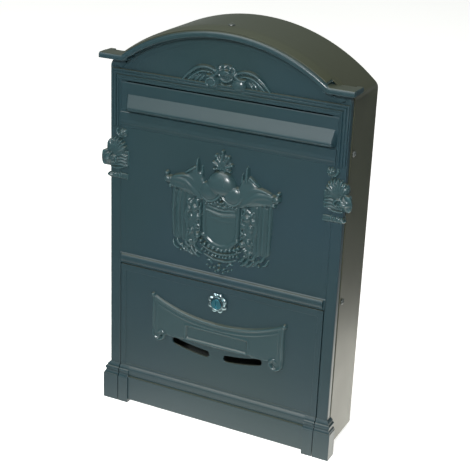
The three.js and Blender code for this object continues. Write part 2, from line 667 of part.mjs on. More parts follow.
const design = new THREE.Group();
design.position.set(0, -BACK_Y, -MOUNT_Z);
design.add(
  piece('front_frame', frontFrame(), CAST_PAINT),
  piece('body_wrap', bodyWrap(), SHEET_PAINT),
  piece('back_panel', backPanel(), SHEET_PAINT),
  piece('bottom_panel', bottomPanel(), SHEET_PAINT),
  piece('mail_flap', mailFlap(), CAST_PAINT),
  piece('flap_rod', flapRod(), ZINC),
  piece('rod_clip_left', rodClip(-1), ZINC),
  piece('rod_clip_right', rodClip(1), ZINC),
  piece('lower_door', lowerDoor(), CAST_PAINT),
  piece('door_pin_left', doorPin(-1), ZINC),
  piece('door_pin_right', doorPin(1), ZINC),
  piece('lock_rosette', lockRosette(), CHROME),
  piece('lock_body', lockBody(), CHROME),
  piece('lock_nut', lockNut(), ZINC),
  piece('lock_plug', lockPlug(), CHROME),
  piece('lock_cam', lockCam(), ZINC),
  piece('cam_washer', tailRing(5.2, tailStart, tailStart + 0.8, 20), ZINC),
  piece('cam_nut', tailRing(4.6, tailStart + 1.1, tailStart + 3.6, 6), ZINC),
  ...frameScrews(),
);

const mailbox = new THREE.Group();
mailbox.add(design);

export default mailbox;
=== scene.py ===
"""Looks of a wall mounted mailbox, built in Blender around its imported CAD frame.

Shapes are worked out in millimetres on the part's design axes: x to the right, y to the back
from the face of the door and pilasters, z up from the underside of the feet. place() turns
them into metres in the row frame.
"""

import math

import bmesh
import bpy
import numpy as np
from mathutils import Matrix, Vector


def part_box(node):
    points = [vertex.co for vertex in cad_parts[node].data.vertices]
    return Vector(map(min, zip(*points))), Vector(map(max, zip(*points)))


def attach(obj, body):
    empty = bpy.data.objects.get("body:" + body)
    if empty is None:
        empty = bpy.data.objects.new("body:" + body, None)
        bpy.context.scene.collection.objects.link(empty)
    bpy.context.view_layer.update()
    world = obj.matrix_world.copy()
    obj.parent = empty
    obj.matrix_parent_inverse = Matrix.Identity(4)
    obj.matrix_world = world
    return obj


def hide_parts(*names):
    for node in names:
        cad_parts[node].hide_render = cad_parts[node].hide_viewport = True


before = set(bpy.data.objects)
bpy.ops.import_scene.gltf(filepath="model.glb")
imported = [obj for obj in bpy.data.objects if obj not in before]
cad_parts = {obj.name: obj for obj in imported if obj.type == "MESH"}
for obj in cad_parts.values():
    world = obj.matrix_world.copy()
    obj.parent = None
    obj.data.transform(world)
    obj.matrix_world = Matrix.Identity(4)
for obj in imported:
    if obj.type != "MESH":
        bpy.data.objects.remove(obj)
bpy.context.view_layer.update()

MM = 0.001
DEPTH = 68.0  # from the pilaster face to the wall
ORIGIN = np.array([0.0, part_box("back_panel")[1].y / MM - DEPTH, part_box("front_frame")[0].z / MM])


def place(points):
    """Design millimetres as metres in the row frame."""
    return (np.asarray(points, float) + ORIGIN) * MM


def design_box(node):
    """(lowest corner, highest corner) of a CAD node in design millimetres."""
    return [np.array(corner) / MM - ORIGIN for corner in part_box(node)]


# Driving sizes, read from the frame where it has them
HALF_WIDTH = design_box("body_wrap")[1][0]
ROOF_TOP = design_box("body_wrap")[1][2]
BODY_BOTTOM = design_box("body_wrap")[0][2]
EAVE_Z = 366.0
ROOF_RISE = ROOF_TOP - EAVE_Z
ROOF_RADIUS = (HALF_WIDTH**2 + ROOF_RISE**2) / (2 * ROOF_RISE)
ROOF_CENTRE = ROOF_TOP - ROOF_RADIUS
SHEET = 1.0
SHEET_FRONT = 7.4
TONGUE_HALF = 104.0

DOOR_HALF = design_box("lower_door")[1][0]
DOOR_TOP = design_box("lower_door")[1][2]
DOORWAY_HALF = DOOR_HALF + 0.65
DOORWAY_TOP = DOOR_TOP + 0.8
PLINTH_BOTTOM = 3.5
BAND_TOP = 42.0
FOOT_INNER = 100.7

SLOT_HALF = 114.0
SLOT_BOTTOM, SLOT_TOP = 320.0, 350.3
FLAP_HALF = design_box("mail_flap")[1][0]
FLAP_BOTTOM = design_box("mail_flap")[0][2]
FLAP_FRONT = design_box("mail_flap")[0][1]
FLAP_AXIS_Y, FLAP_AXIS_Z = 2.9, 346.9

HOOD_FRONT = -12.0
HOOD_RADIUS = 179.0
HOOD_TOP = 412.0
HOOD_LIP = 5.5
EAR_HALF = 131.0
EAR_BACK = 7.1

LOCK_Z = sum(corner[2] for corner in design_box("lock_body")) / 2


# ---- Mesh helpers ----------------------------------------------------------------------------


def rounded(points, radius, steps=4):
    """A closed outline with each corner rounded; radius may be one value or one per corner."""
    n = len(points)
    radii = radius if hasattr(radius, "__len__") else [radius] * n
    out = []
    for i, r in enumerate(radii):
        p = np.array(points[i], float)
        if r <= 0:
            out.append(tuple(p))
            continue
        to_last = np.array(points[i - 1], float) - p
        to_next = np.array(points[(i + 1) % n], float) - p
        reach_last, reach_next = np.linalg.norm(to_last), np.linalg.norm(to_next)
        start = p + to_last / reach_last * min(r, reach_last / 2)
        end = p + to_next / reach_next * min(r, reach_next / 2)
        for k in range(steps + 1):
            t = k / steps
            out.append(tuple((1 - t) ** 2 * start + 2 * t * (1 - t) * p + t**2 * end))
    return out


BEVEL_FROM = math.radians(30)  # edges sharper than this are rounded


def ring_faces(a, b, m):
    """The faces between two rings of m points, which start at a and b."""
    return [(a + k, a + (k + 1) % m, b + (k + 1) % m, b + k) for k in range(m)]


class Shells:
    """Closed shells in design millimetres, gathered into one mesh."""

    def __init__(self):
        self.mesh = bmesh.new()

    def add(self, verts, faces, bevel=0.0, segments=2, turned=False):
        """Adds one closed shell, its sharp edges rounded by a bevel; turned cleans up its axis."""
        part = bmesh.new()
        made = [part.verts.new(v) for v in verts]
        for face in faces:
            part.faces.new([made[i] for i in face])
        bmesh.ops.remove_doubles(part, verts=part.verts, dist=1e-4)
        if turned:
            bmesh.ops.dissolve_degenerate(part, edges=part.edges, dist=1e-5)
        bmesh.ops.recalc_face_normals(part, faces=part.faces)
        if bevel:
            edges = [e for e in part.edges if e.calc_face_angle(0) > BEVEL_FROM]
            bmesh.ops.bevel(part, geom=edges, offset=bevel, segments=segments, profile=0.5, affect="EDGES")
        kept = bpy.data.meshes.new("shell")
        part.to_mesh(kept)
        part.free()
        self.mesh.from_mesh(kept)
        bpy.data.meshes.remove(kept)

    def rings(self, verts, m, bevel=0.0, segments=2):
        """A shell skinned over rings of m points each, with both ends closed."""
        count = len(verts) // m
        faces = [tuple(range(m)), tuple(range(count * m - 1, (count - 1) * m - 1, -1))]
        faces += [face for i in range(count - 1) for face in ring_faces(i * m, (i + 1) * m, m)]
        self.add(verts, faces, bevel, segments)

    def bar(self, section, x0, x1, bevel=0.0, segments=2):
        """A section in y and z, given width from x0 to x1."""
        self.rings([(x, y, z) for x in (x0, x1) for y, z in section], len(section), bevel, segments)

    def box(self, low, high, bevel=0.4, segments=2):
        """A box with rounded edges."""
        (x0, y0, z0), (x1, y1, z1) = low, high
        corners = [(x, y, z) for y in (y0, y1) for x, z in ((x0, z0), (x1, z0), (x1, z1), (x0, z1))]
        self.rings(corners, 4, bevel, segments)

    def side_boxes(self, low, high, bevel=0.4):
        """A box beside the middle and its mirror image."""
        for side in (1, -1):
            x0, x1 = sorted((side * low[0], side * high[0]))
            self.box((x0, *low[1:]), (x1, *high[1:]), bevel)

    def plate(self, loops, y0, y1, bevel=0.5, segments=2):
        """A plate between two depths, outlined by the first loop, with the other loops as holes."""
        curve = bpy.data.curves.new("plate", "CURVE")
        curve.dimensions = "2D"
        curve.fill_mode = "BOTH"
        curve.extrude = (y1 - y0) / 2 - bevel
        curve.bevel_depth = bevel
        curve.bevel_resolution = segments
        curve.offset = -bevel
        for loop in loops:
            spline = curve.splines.new("POLY")
            spline.points.add(len(loop) - 1)
            spline.points.foreach_set("co", [c for x, z in loop for c in (x, z, 0.0, 1.0)])
            spline.use_cyclic_u = True
        holder = bpy.data.objects.new("plate", curve)
        bpy.context.scene.collection.objects.link(holder)
        bpy.context.view_layer.update()
        flat = bpy.data.meshes.new_from_object(holder.evaluated_get(bpy.context.evaluated_depsgraph_get()))
        middle = (y0 + y1) / 2
        verts = [(v.co.x, middle - v.co.z, v.co.y) for v in flat.vertices]
        faces = [tuple(p.vertices) for p in flat.polygons]
        bpy.data.objects.remove(holder)
        bpy.data.curves.remove(curve)
        bpy.data.meshes.remove(flat)
        self.add(verts, faces)

    def sweep(self, path, profile, axis=(0, 1, 0)):
        """A closed profile carried along a path that lies square to axis, mitred at its corners.

        A profile point (u, v) lies u along axis x travel and v along axis."""
        path = np.array(path, float)
        axis = np.array(axis, float)
        n, m = len(path), len(profile)
        legs = np.roll(path, -1, 0) - path
        legs /= np.maximum(np.linalg.norm(legs, axis=1), 1e-9)[:, None]
        out = np.cross(axis, legs)
        verts = []
        for i in range(n):
            before = out[i - 1] if i > 0 else out[i]
            after = out[i] if i < n - 1 else out[i - 1]
            mitre = (before + after) / (1 + before @ after)
            verts += [path[i] + u * mitre + v * axis for u, v in profile]
        self.rings(verts, m)

    def lathe(self, profile, centre, axis="y", steps=48, closed=False):
        """A profile of (radius, along) turned about y or x through a centre; closed for a ring."""
        verts, faces = [], []
        cx, cy, cz = centre
        m = len(profile)
        for i in range(steps):
            a = 2 * math.pi * i / steps
            for r, t in profile:
                p, q = r * math.cos(a), r * math.sin(a)
                verts.append((cx + p, cy + t, cz + q) if axis == "y" else (cx + t, cy + p, cz + q))
        for i in range(steps):
            faces += ring_faces(i * m, ((i + 1) % steps) * m, m)[: m if closed else m - 1]
        self.add(verts, faces, turned=True)

    def finish(self, name, material, body, slot, nodes=(), sharp=38):
        """The gathered shells as a piece in the row frame."""
        mesh = bpy.data.meshes.new(name)
        self.mesh.to_mesh(mesh)
        self.mesh.free()
        return settle(name, mesh, material, body, nodes, sharp)


def settle(name, mesh, material, body, nodes=(), sharp=38):
    """Moves a mesh from design millimetres to the row frame and makes it a piece on a body."""
    co = np.zeros(len(mesh.vertices) * 3)
    mesh.vertices.foreach_get("co", co)
    mesh.vertices.foreach_set("co", place(co.reshape(-1, 3)).ravel())
    work = bmesh.new()
    work.from_mesh(mesh)
    limit = math.radians(sharp)
    for face in work.faces:
        face.smooth = True
    for edge in work.edges:
        edge.smooth = edge.calc_face_angle(0) < limit
    work.to_mesh(mesh)
    work.free()
    mesh.materials.append(material)
    piece = bpy.data.objects.new(name, mesh)
    bpy.context.scene.collection.objects.link(piece)
    flat = piece.modifiers.new("flat_faces", "WEIGHTED_NORMAL")
    flat.keep_sharp = True
    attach(piece, body)
    if nodes:
        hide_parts(*nodes)
    return piece


# ---- Relief ----------------------------------------------------------------------------------


def through(points, steps=10):
    """A smooth curve through points, as an array of points."""
    p = np.array(points, float)
    p = np.vstack([2 * p[0] - p[1], p, 2 * p[-1] - p[-2]])
    out = []
    for i in range(1, len(p) - 2):
        for k in range(steps):
            t = k / steps
            out.append(
                0.5
                * (
                    2 * p[i]
                    + (p[i + 1] - p[i - 1]) * t
                    + (2 * p[i - 1] - 5 * p[i] + 4 * p[i + 1] - p[i + 2]) * t**2
                    + (3 * p[i] - p[i - 1] - 3 * p[i + 1] + p[i + 2]) * t**3
                )
            )
    out.append(p[-2])
    return np.array(out)


class Relief:
    """A height map in mm over two flat coordinates, on which ornament is laid and merged."""

    def __init__(self, a0, a1, b0, b1, step):
        self.a = np.linspace(a0, a1, int(round((a1 - a0) / step)) + 1)
        self.b = np.linspace(b0, b1, int(round((b1 - b0) / step)) + 1)
        self.A, self.B = np.meshgrid(self.a, self.b)
        self.step = step
        self.side = 1  # strokes, knobs, beads and plateaus are mirrored while this is -1
        self.H = np.full(self.A.shape, -3.0)

    def on_side(self, points):
        return np.array([(self.side * a, b) for a, b in points], float)

    def lay(self, height):
        """Keeps the higher of what is there and a new height."""
        self.H = np.maximum(self.H, height)

    def edge_distance(self, outline):
        """Distance to an outline, positive inside it."""
        p = self.on_side(outline)
        best = np.full(self.A.shape, 1e9)
        inside = np.zeros(self.A.shape, bool)
        for (ax, bz), (cx, dz) in zip(p, np.roll(p, -1, 0)):
            ex, ez = cx - ax, dz - bz
            length2 = max(ex * ex + ez * ez, 1e-9)
            t = np.clip(((self.A - ax) * ex + (self.B - bz) * ez) / length2, 0, 1)
            best = np.minimum(best, np.hypot(self.A - ax - t * ex, self.B - bz - t * ez))
            if ez != 0:
                crossing = (bz > self.B) != (dz > self.B)
                inside ^= crossing & (self.A < ex * (self.B - bz) / ez + ax)
        return np.where(inside, best, -best)

    def plateau(self, outline, height, edge=1.2, wave=None):
        """A raised area with a rounded edge; wave adds a height of its own inside."""
        d = self.edge_distance(outline)
        rise = np.clip(d / edge, 0, 1)
        body = height * np.sqrt(np.maximum(1 - (1 - rise) ** 2, 0))
        if wave is not None:
            body = body + wave * rise
        self.lay(np.where(d > 0, body, d))

    def stroke(self, points, width, height, base=0.0, ends=(0.35, 0.35), power=2.0, steps=8):
        """A rounded rib along a curve, thinning towards its ends; ends are the widths left there."""
        curve = through(self.on_side(points), steps)
        reach = np.concatenate([[0], np.cumsum(np.linalg.norm(np.diff(curve, axis=0), axis=1))])
        reach /= reach[-1]
        margin = width + 2
        cols = np.where((self.a > curve[:, 0].min() - margin) & (self.a < curve[:, 0].max() + margin))[0]
        rows = np.where((self.b > curve[:, 1].min() - margin) & (self.b < curve[:, 1].max() + margin))[0]
        if not len(cols) or not len(rows):
            return
        part = np.s_[rows[0] : rows[-1] + 1, cols[0] : cols[-1] + 1]
        A, B = self.A[part], self.B[part]
        best, along = np.full(A.shape, 1e9), np.zeros(A.shape)
        for i in range(len(curve) - 1):
            (ax, bz), (ex, ez) = curve[i], curve[i + 1] - curve[i]
            t = np.clip(((A - ax) * ex + (B - bz) * ez) / max(ex * ex + ez * ez, 1e-9), 0, 1)
            d = np.hypot(A - ax - t * ex, B - bz - t * ez)
            near = d < best
            best = np.where(near, d, best)
            along = np.where(near, reach[i] + t * (reach[i + 1] - reach[i]), along)
        swell = np.sin(np.pi * along) ** 0.7
        local = width * np.maximum(ends[0] * (1 - along) + ends[1] * along, 0.02)
        local = local + (width - local) * swell
        q = best / local
        top = base + height * (0.55 + 0.45 * swell)
        rib = top * np.maximum(1 - q**power, 0) ** 0.5
        self.H[part] = np.maximum(self.H[part], np.where(q < 1, rib, local - best))

    def knob(self, a, b, ra, rb, height, base=0.0, turn=0.0):
        """A rounded knob, oval if its radii differ, turned by degrees."""
        a, turn = self.side * a, math.radians(self.side * turn)
        c, s = math.cos(turn), math.sin(turn)
        da, db = self.A - a, self.B - b
        q = np.hypot((da * c + db * s) / ra, (db * c - da * s) / rb)
        self.lay(np.where(q < 1, base + height * np.sqrt(np.maximum(1 - q**2, 0)), (1 - q) * min(ra, rb)))

    def beads(self, points, radius, height, count, base=0.0):
        """A string of round beads along a curve."""
        curve = through(points, 12)
        reach = np.concatenate([[0], np.cumsum(np.linalg.norm(np.diff(curve, axis=0), axis=1))])
        for s in np.linspace(0, reach[-1], count):
            a, b = (np.interp(s, reach, curve[:, k]) for k in (0, 1))
            self.knob(a, b, radius, radius, height, base)

    def soften(self, sigma):
        """Rounds everything off a little, as casting and paint do."""
        reach = max(1, int(3 * sigma / self.step))
        kernel = np.exp(-0.5 * (np.arange(-reach, reach + 1) * self.step / sigma) ** 2)
        kernel /= kernel.sum()
        floor = np.maximum(self.H, -0.6)
        for axis in (0, 1):
            pad = [(reach, reach) if k == axis else (0, 0) for k in (0, 1)]
            padded = np.pad(floor, pad, mode="edge")
            size = floor.shape[axis]
            floor = sum(w * np.take(padded, range(i, i + size), axis) for i, w in enumerate(kernel))
        self.H = floor

    def mesh(self, name, to_space, back=1.2):
        """A closed mesh of the ornament. to_space turns (a, b, height) into design points."""
        H = np.clip(self.H, -0.35, None)
        cells = np.maximum.reduce([H[:-1, :-1], H[1:, :-1], H[:-1, 1:], H[1:, 1:]]) > 0
        rows, cols = np.nonzero(cells)
        nb = H.shape[1]
        corners = np.stack(
            [rows * nb + cols, rows * nb + cols + 1, (rows + 1) * nb + cols + 1, (rows + 1) * nb + cols],
            1,
        )
        used = np.unique(corners)
        index = np.full(H.size, -1)
        index[used] = np.arange(len(used))
        a, b, h = self.A.ravel()[used], self.B.ravel()[used], H.ravel()[used]
        front, rear = to_space(a, b, h), to_space(a, b, np.full(h.shape, -back))
        top = index[corners]
        count = len(used)
        edges = np.concatenate([top[:, [0, 1]], top[:, [1, 2]], top[:, [2, 3]], top[:, [3, 0]]])
        keys = {(int(p), int(q)) for p, q in edges}
        rim = [(p, q) for p, q in keys if (q, p) not in keys]
        faces = [tuple(int(i) for i in f) for f in top]
        faces += [tuple(int(i) + count for i in f[::-1]) for f in top]
        faces += [(q, p, p + count, q + count) for p, q in rim]
        mesh = bpy.data.meshes.new(name)
        mesh.from_pydata(np.vstack([front, rear]).tolist(), [], faces)
        work = bmesh.new()
        work.from_mesh(mesh)
        bmesh.ops.recalc_face_normals(work, faces=work.faces)
        work.to_mesh(mesh)
        work.free()
        return mesh


def on_face(face_y):
    """Puts relief on a flat face that looks to the front at a depth."""
    return lambda a, b, h: np.stack([a, face_y - h, b], 1)


# ---- Materials -------------------------------------------------------------------------------


class Nodes:
    """A node material, with short calls for the nodes used here."""

    def __init__(self, name, roughness, metallic=0.0, coat=0.0, specular=0.5):
        self.material = bpy.data.materials.new(name)
        self.material.use_nodes = True
        self.tree = self.material.node_tree
        self.shader = self.tree.nodes["Principled BSDF"]
        self.shader.inputs["Roughness"].default_value = roughness
        self.shader.inputs["Metallic"].default_value = metallic
        self.shader.inputs["Coat Weight"].default_value = coat
        self.shader.inputs["Coat Roughness"].default_value = 0.18
        self.shader.inputs["Specular IOR Level"].default_value = specular
        self.where = self.add("ShaderNodeTexCoord").outputs["Object"]

    def add(self, kind, **settings):
        node = self.tree.nodes.new(kind)
        for key, value in settings.items():
            setattr(node, key, value)
        return node

    def link(self, source, target):
        self.tree.links.new(source, target)

    def noise(self, scale, detail=4.0, roughness=0.55, stretch=(1, 1, 1)):
        """Noise in object space; scale is in cells per metre."""
        mapping = self.add("ShaderNodeMapping")
        mapping.inputs["Scale"].default_value = stretch
        self.link(self.where, mapping.inputs["Vector"])
        node = self.add("ShaderNodeTexNoise")
        node.inputs["Scale"].default_value = scale
        node.inputs["Detail"].default_value = detail
        node.inputs["Roughness"].default_value = roughness
        self.link(mapping.outputs["Vector"], node.inputs["Vector"])
        return node.outputs["Fac"]

    def ramp(self, source, stops):
        """A colour or grey ramp; stops are (position, colour) with colours of 3 numbers or 1."""
        node = self.add("ShaderNodeValToRGB")
        elements = node.color_ramp.elements
        while len(elements) < len(stops):
            elements.new(0.5)
        for element, (position, colour) in zip(elements, stops):
            element.position = position
            element.color = (*colour, 1.0) if hasattr(colour, "__len__") else (colour, colour, colour, 1.0)
        self.link(source, node.inputs["Fac"])
        return node.outputs["Color"]

    def mix(self, factor, first, second, blend="MIX"):
        node = self.add("ShaderNodeMix", data_type="RGBA", blend_type=blend)
        for socket, value in zip((node.inputs[0], node.inputs[6], node.inputs[7]), (factor, first, second)):
            if hasattr(value, "is_output"):
                self.link(value, socket)
            else:
                socket.default_value = value if not hasattr(value, "__len__") else (*value, 1.0)
        return node.outputs[2]

    def bump(self, height, strength, distance, below=None):
        node = self.add("ShaderNodeBump")
        node.inputs["Strength"].default_value = strength
        node.inputs["Distance"].default_value = distance
        self.link(height, node.inputs["Height"])
        if below is not None:
            self.link(below, node.inputs["Normal"])
        return node.outputs["Normal"]

    def finish(self, colour, roughness=None, normal=None):
        self.link(colour, self.shader.inputs["Base Color"])
        if roughness is not None:
            self.link(roughness, self.shader.inputs["Roughness"])
        if normal is not None:
            self.link(normal, self.shader.inputs["Normal"])
        return self.material


def paint(name, base, second_tone, grain, roughness, wear_sheen_and_crevice_shade=False):
    """Baked enamel: uneven gloss and tone, fine orange peel, and a painted olive reflection on what faces
    up; on request also lighter sharp edges, partly wear and mostly a painted highlight, and painted shade in
    the crevices.
    """
    made = Nodes(name, roughness)
    cloud = made.noise(7, 1)
    fine = made.noise(900, 2, 0.5)
    colour = made.mix(made.ramp(cloud, [(0.2, 0.0), (0.8, 1.0)]), base, second_tone)
    geometry = made.add("ShaderNodeNewGeometry")
    if wear_sheen_and_crevice_shade:
        edge_curvature = geometry.outputs["Pointiness"]
        # Sharp convex edges are lightened: partly edge wear, mostly a painted highlight.
        colour = made.mix(made.ramp(edge_curvature, [(0.52, 0.0), (0.62, 0.6)]), colour, tuple(3.0 * c for c in second_tone))
        # Crevices and hollows are darkened: painted shade.
        colour = made.mix(
            made.ramp(edge_curvature, [(0.36, 0.75), (0.485, 0.0)]), colour, tuple(0.3 * c for c in base),
        )
    # Painted reflection: the more a face looks up, the more it is tinted a warm olive.
    up = made.add("ShaderNodeSeparateXYZ")
    made.link(geometry.outputs["Normal"], up.inputs[0])
    facing_up_tint = made.ramp(up.outputs["Z"], [(0.72, 0.0), (0.97, 0.9)])
    colour = made.mix(facing_up_tint, colour, UPWARD_REFLECTION_TINT)
    gloss = made.ramp(made.noise(22, 1), [(0.25, roughness - 0.02), (0.75, roughness + 0.03)])
    peel = made.bump(made.noise(grain, 3, 0.5), 0.14, 0.0003)
    return made.finish(colour, gloss, made.bump(fine, 0.06, 0.0001, peel))


def bare_metal(name, light, dark, roughness, brushed=(1, 1, 1), scratches=0.1):
    """Bare plated metal: slight tarnish and fine marks drawn out along one direction."""
    made = Nodes(name, roughness, metallic=1.0)
    colour = made.mix(made.ramp(made.noise(60, 4), [(0.35, 0.0), (0.75, 1.0)]), light, dark)
    marks = made.noise(700, 3, 0.6, brushed)
    gloss = made.ramp(marks, [(0.3, roughness * 0.7), (0.75, roughness * 1.5)])
    return made.finish(colour, gloss, made.bump(marks, scratches, 0.0001))


# Warm olive for the painted reflection on faces that look up.
UPWARD_REFLECTION_TINT = (0.052, 0.060, 0.042)
CAST = paint("cast_enamel", (0.013, 0.033, 0.036), (0.013, 0.033, 0.045), 260, 0.30)
# The ornament's enamel is a lighter copy of the cast enamel, the extra lightness a painted highlight; its
# sharp edges get a painted highlight and its crevices painted shade.
RELIEF_ENAMEL_LIT = paint("cast_relief_enamel_lit", (0.017, 0.039, 0.044), (0.022, 0.048, 0.053), 260, 0.25, True)
CAST_SHARP = 80  # degrees; only the hardest folds of a casting stay sharp
SHEET_STEEL = paint("sheet_enamel", (0.036, 0.040, 0.023), (0.045, 0.049, 0.030), 180, 0.36)
INSIDE = paint("inside_enamel", (0.028, 0.036, 0.036), (0.036, 0.044, 0.043), 180, 0.55)
CHROME = bare_metal("chrome_plate", (0.42, 0.55, 0.58), (0.30, 0.44, 0.48), 0.14)
PLUG_CHROME = bare_metal("plug_chrome", (0.16, 0.46, 0.56), (0.10, 0.36, 0.46), 0.2, (1, 1, 0.1), 0.2)
# The screws share the casting's enamel; their lighter colour is a painted highlight.
SCREW_ENAMEL_LIT = paint("screw_enamel_lit", (0.050, 0.060, 0.058), (0.07, 0.08, 0.078), 300, 0.30)
ZINC = bare_metal("zinc_plate", (0.56, 0.57, 0.56), (0.40, 0.41, 0.38), 0.34, (0.1, 1, 1), 0.3)


# ---- Sheet steel box -------------------------------------------------------------------------

EAVE_BEND = 4.0  # length taken from wall and roof by the rounded bend between them


def arch_path(inset, bottom, steps=56):
    """The wall and roof line seen from the front, right to left, set in from the outside."""
    half, radius = HALF_WIDTH - inset, ROOF_RADIUS - inset
    start = math.acos(half / radius)
    corner = np.array([half, ROOF_CENTRE + radius * math.sin(start)])
    first = start + EAVE_BEND / radius
    below = corner - (0, EAVE_BEND)
    after = np.array([radius * math.cos(first), ROOF_CENTRE + radius * math.sin(first)])
    bend = [(1 - t) ** 2 * below + 2 * t * (1 - t) * corner + t * t * after for t in np.linspace(0, 1, 6)]
    angles = np.linspace(first, math.pi / 2, steps // 2)[1:]
    right = [(half, bottom)] + [tuple(p) for p in bend]
    right += [(radius * math.cos(a), ROOF_CENTRE + radius * math.sin(a)) for a in angles]
    return right + [(-x, z) for x, z in right[-2::-1]]


def roof_height(x):
    """Height of the roof's outside at a distance from the middle."""
    return ROOF_CENTRE + math.sqrt(ROOF_RADIUS**2 - x**2)


def mirrored(points):
    return [(-x, z) for x, z in points]


def on_plane(path, y=0.0):
    """A path in x and z stood at a depth."""
    return [(x, y, z) for x, z in path]


def sheet_wrap():
    """Side walls and roof of one folded sheet: hemmed front edges, lip over the hood, shoulders."""
    made = Shells()
    back, t = DEPTH, SHEET
    wall = [
        (-t, back), (0, back), (0, SHEET_FRONT + 2.4), (0.45, SHEET_FRONT + 1.6), (0.45, SHEET_FRONT + 0.7),
        (0, SHEET_FRONT), (-t, SHEET_FRONT),
    ]
    outline = arch_path(0, BODY_BOTTOM)
    edge = (TONGUE_HALF, roof_height(TONGUE_HALF))
    right = [p for p in outline if p[0] > TONGUE_HALF + 1] + [edge]
    made.sweep(on_plane(right), wall)
    made.sweep(on_plane(mirrored(right[::-1])), wall)
    top = [edge] + [p for p in outline if abs(p[0]) < TONGUE_HALF - 1] + mirrored([edge])
    made.sweep(on_plane(top), [(-t, back), (0, back), (0, SHEET_FRONT + 0.5), (-t, SHEET_FRONT + 0.5)])
    first, last = math.acos(TONGUE_HALF / ROOF_RADIUS), math.pi - math.acos(TONGUE_HALF / ROOF_RADIUS)
    lip_path = [
        (ROOF_RADIUS * math.cos(a), 0, ROOF_CENTRE + ROOF_RADIUS * math.sin(a))
        for a in np.linspace(first, last, 64)
    ]
    lip = [
        (-t, SHEET_FRONT + 1.0), (0, SHEET_FRONT + 1.0), (-0.05, 3.5), (-0.45, 0.5), (-1.3, -4.0),
        (-2.35, -8.8), (-2.75, -8.9), (-1.9, -4.5), (-t, 0.9),
    ]
    made.sweep(lip_path, lip)
    shoulder = [
        (-t, SHEET_FRONT + 1.0), (0, SHEET_FRONT + 1.0), (-0.05, 3.5), (-0.35, 0.8), (-t - 0.3, 0.8),
        (-t, 3.5),
    ]
    spread = [(x, roof_height(x)) for x in (112.5, 110, 107, TONGUE_HALF - 1)]
    made.sweep(on_plane(spread), shoulder)
    made.sweep(on_plane(mirrored(spread[::-1])), shoulder)
    return made.finish("sheet_wrap", SHEET_STEEL, "case", "sheet_paint", ["body_wrap"])


# ---- Cast front ------------------------------------------------------------------------------

FIELD = 1.0  # sunk panels
PLATE_BACK = 3.0
RIM_BACK = 7.1
PILASTER_INNER = 107.0
HOOD_BACK = 0.7
RIM_SPLIT = 112.0  # nearer the middle than this, the rim lies under the roof sheet
EAR_TOP, EAR_BOTTOM = 377.0, 371.8


def front_rim(made):
    """Pilasters and arch band: one stepped section carried round the outline above the doorway."""
    edge = [(-0.9, RIM_BACK), (-0.9, 6.3), (-0.1, 6.1), (0, 5.8), (0, 1.1), (-0.3, 0.35), (-1.0, 0)]
    pilaster = edge + [
        (-10.8, 0), (-11.5, 0.8), (-16.6, 0.85), (-17.2, 1.0), (-17.35, 1.3), (-17.35, PLATE_BACK),
        (-3.6, PLATE_BACK), (-3.6, RIM_BACK),
    ]
    outline = arch_path(0, DOORWAY_TOP)
    overlap = [(x, roof_height(x)) for x in (RIM_SPLIT + 1.5, RIM_SPLIT - 0.5)]
    top = [
        (x, min(z, EAR_TOP + 1.5) if abs(x) > TONGUE_HALF + 0.5 else z)
        for x, z in outline
        if abs(x) < RIM_SPLIT
    ]
    under_roof = [overlap[0]] + top + mirrored([overlap[0]])
    lowered = [(min(u, -SHEET - 0.35), v) for u, v in pilaster if v != 5.8]
    made.sweep(on_plane(under_roof), lowered)
    beside = [p for p in outline if p[0] > RIM_SPLIT] + [overlap[1]]
    right = [(x, min(z, EAR_TOP - 0.2)) for x, z in beside]
    made.sweep(on_plane(right), pilaster)
    made.sweep(on_plane(mirrored(right[::-1])), pilaster)
    inner = -(HALF_WIDTH - DOORWAY_HALF)
    post = edge + [
        (inner + 0.5, 0), (inner, 0.5), (inner, PLATE_BACK), (-3.6, PLATE_BACK), (-3.6, RIM_BACK),
    ]
    for side in (1, -1):
        path = [(side * HALF_WIDTH, 0, z) for z in (BAND_TOP - 1, DOORWAY_TOP)]
        made.sweep(path if side > 0 else path[::-1], post)


def front_fields(made):
    """The sunk fields between the pilasters, with the letter slot cut through."""
    foot = (-SLOT_HALF - 2, DOORWAY_TOP)
    field = [foot] + mirrored([foot]) + arch_path(15, DOORWAY_TOP)[1:-1]
    made.plate([field, rectangle(SLOT_HALF, SLOT_BOTTOM, SLOT_TOP)], FIELD, PLATE_BACK, 0.1, 1)


def slot_frame(made):
    """The stepped and mitred moulding over the letter slot, and the sill band beneath it."""
    top, half = 361.0, 123.0
    section = [
        (0, 1.5), (0, -0.6), (-0.4, -1.3), (-0.9, -1.5), (-2.0, -1.5), (-2.6, -0.8), (-3.2, -1.4),
        (-4.6, -1.5), (-5.1, -1.1), (-5.3, -0.1), (-5.8, 0.0), (-6.2, -0.7), (-6.6, -1.1), (-7.6, -1.1),
        (-8.1, -0.7), (-8.3, 0.0), (-8.3, PLATE_BACK), (-2, PLATE_BACK),
    ]
    path = [(half, 0, 303), (half, 0, top), (-half, 0, top), (-half, 0, 303)]
    made.sweep(path, section)
    low = SLOT_TOP - 0.55
    head = [
        (0.2, low), (-0.6, low + 0.5), (-0.8, 351.2), (-0.6, 352.9), (PLATE_BACK, 353), (PLATE_BACK, low),
    ]
    made.bar(head, -SLOT_HALF - 1, SLOT_HALF + 1)
    sill = [
        (PLATE_BACK, 303.2), (1.0, 303.2), (0.3, 303.8), (0.1, 306.2), (-0.4, 306.8), (-0.8, 307.8),
        (-0.7, 308.9), (-0.35, 310.0), (-0.2, 311.6), (-0.2, 318.0), (0.3, 318.6), (PLATE_BACK, 318.6),
    ]
    made.bar(sill, -PILASTER_INNER - 6, PILASTER_INNER + 6)


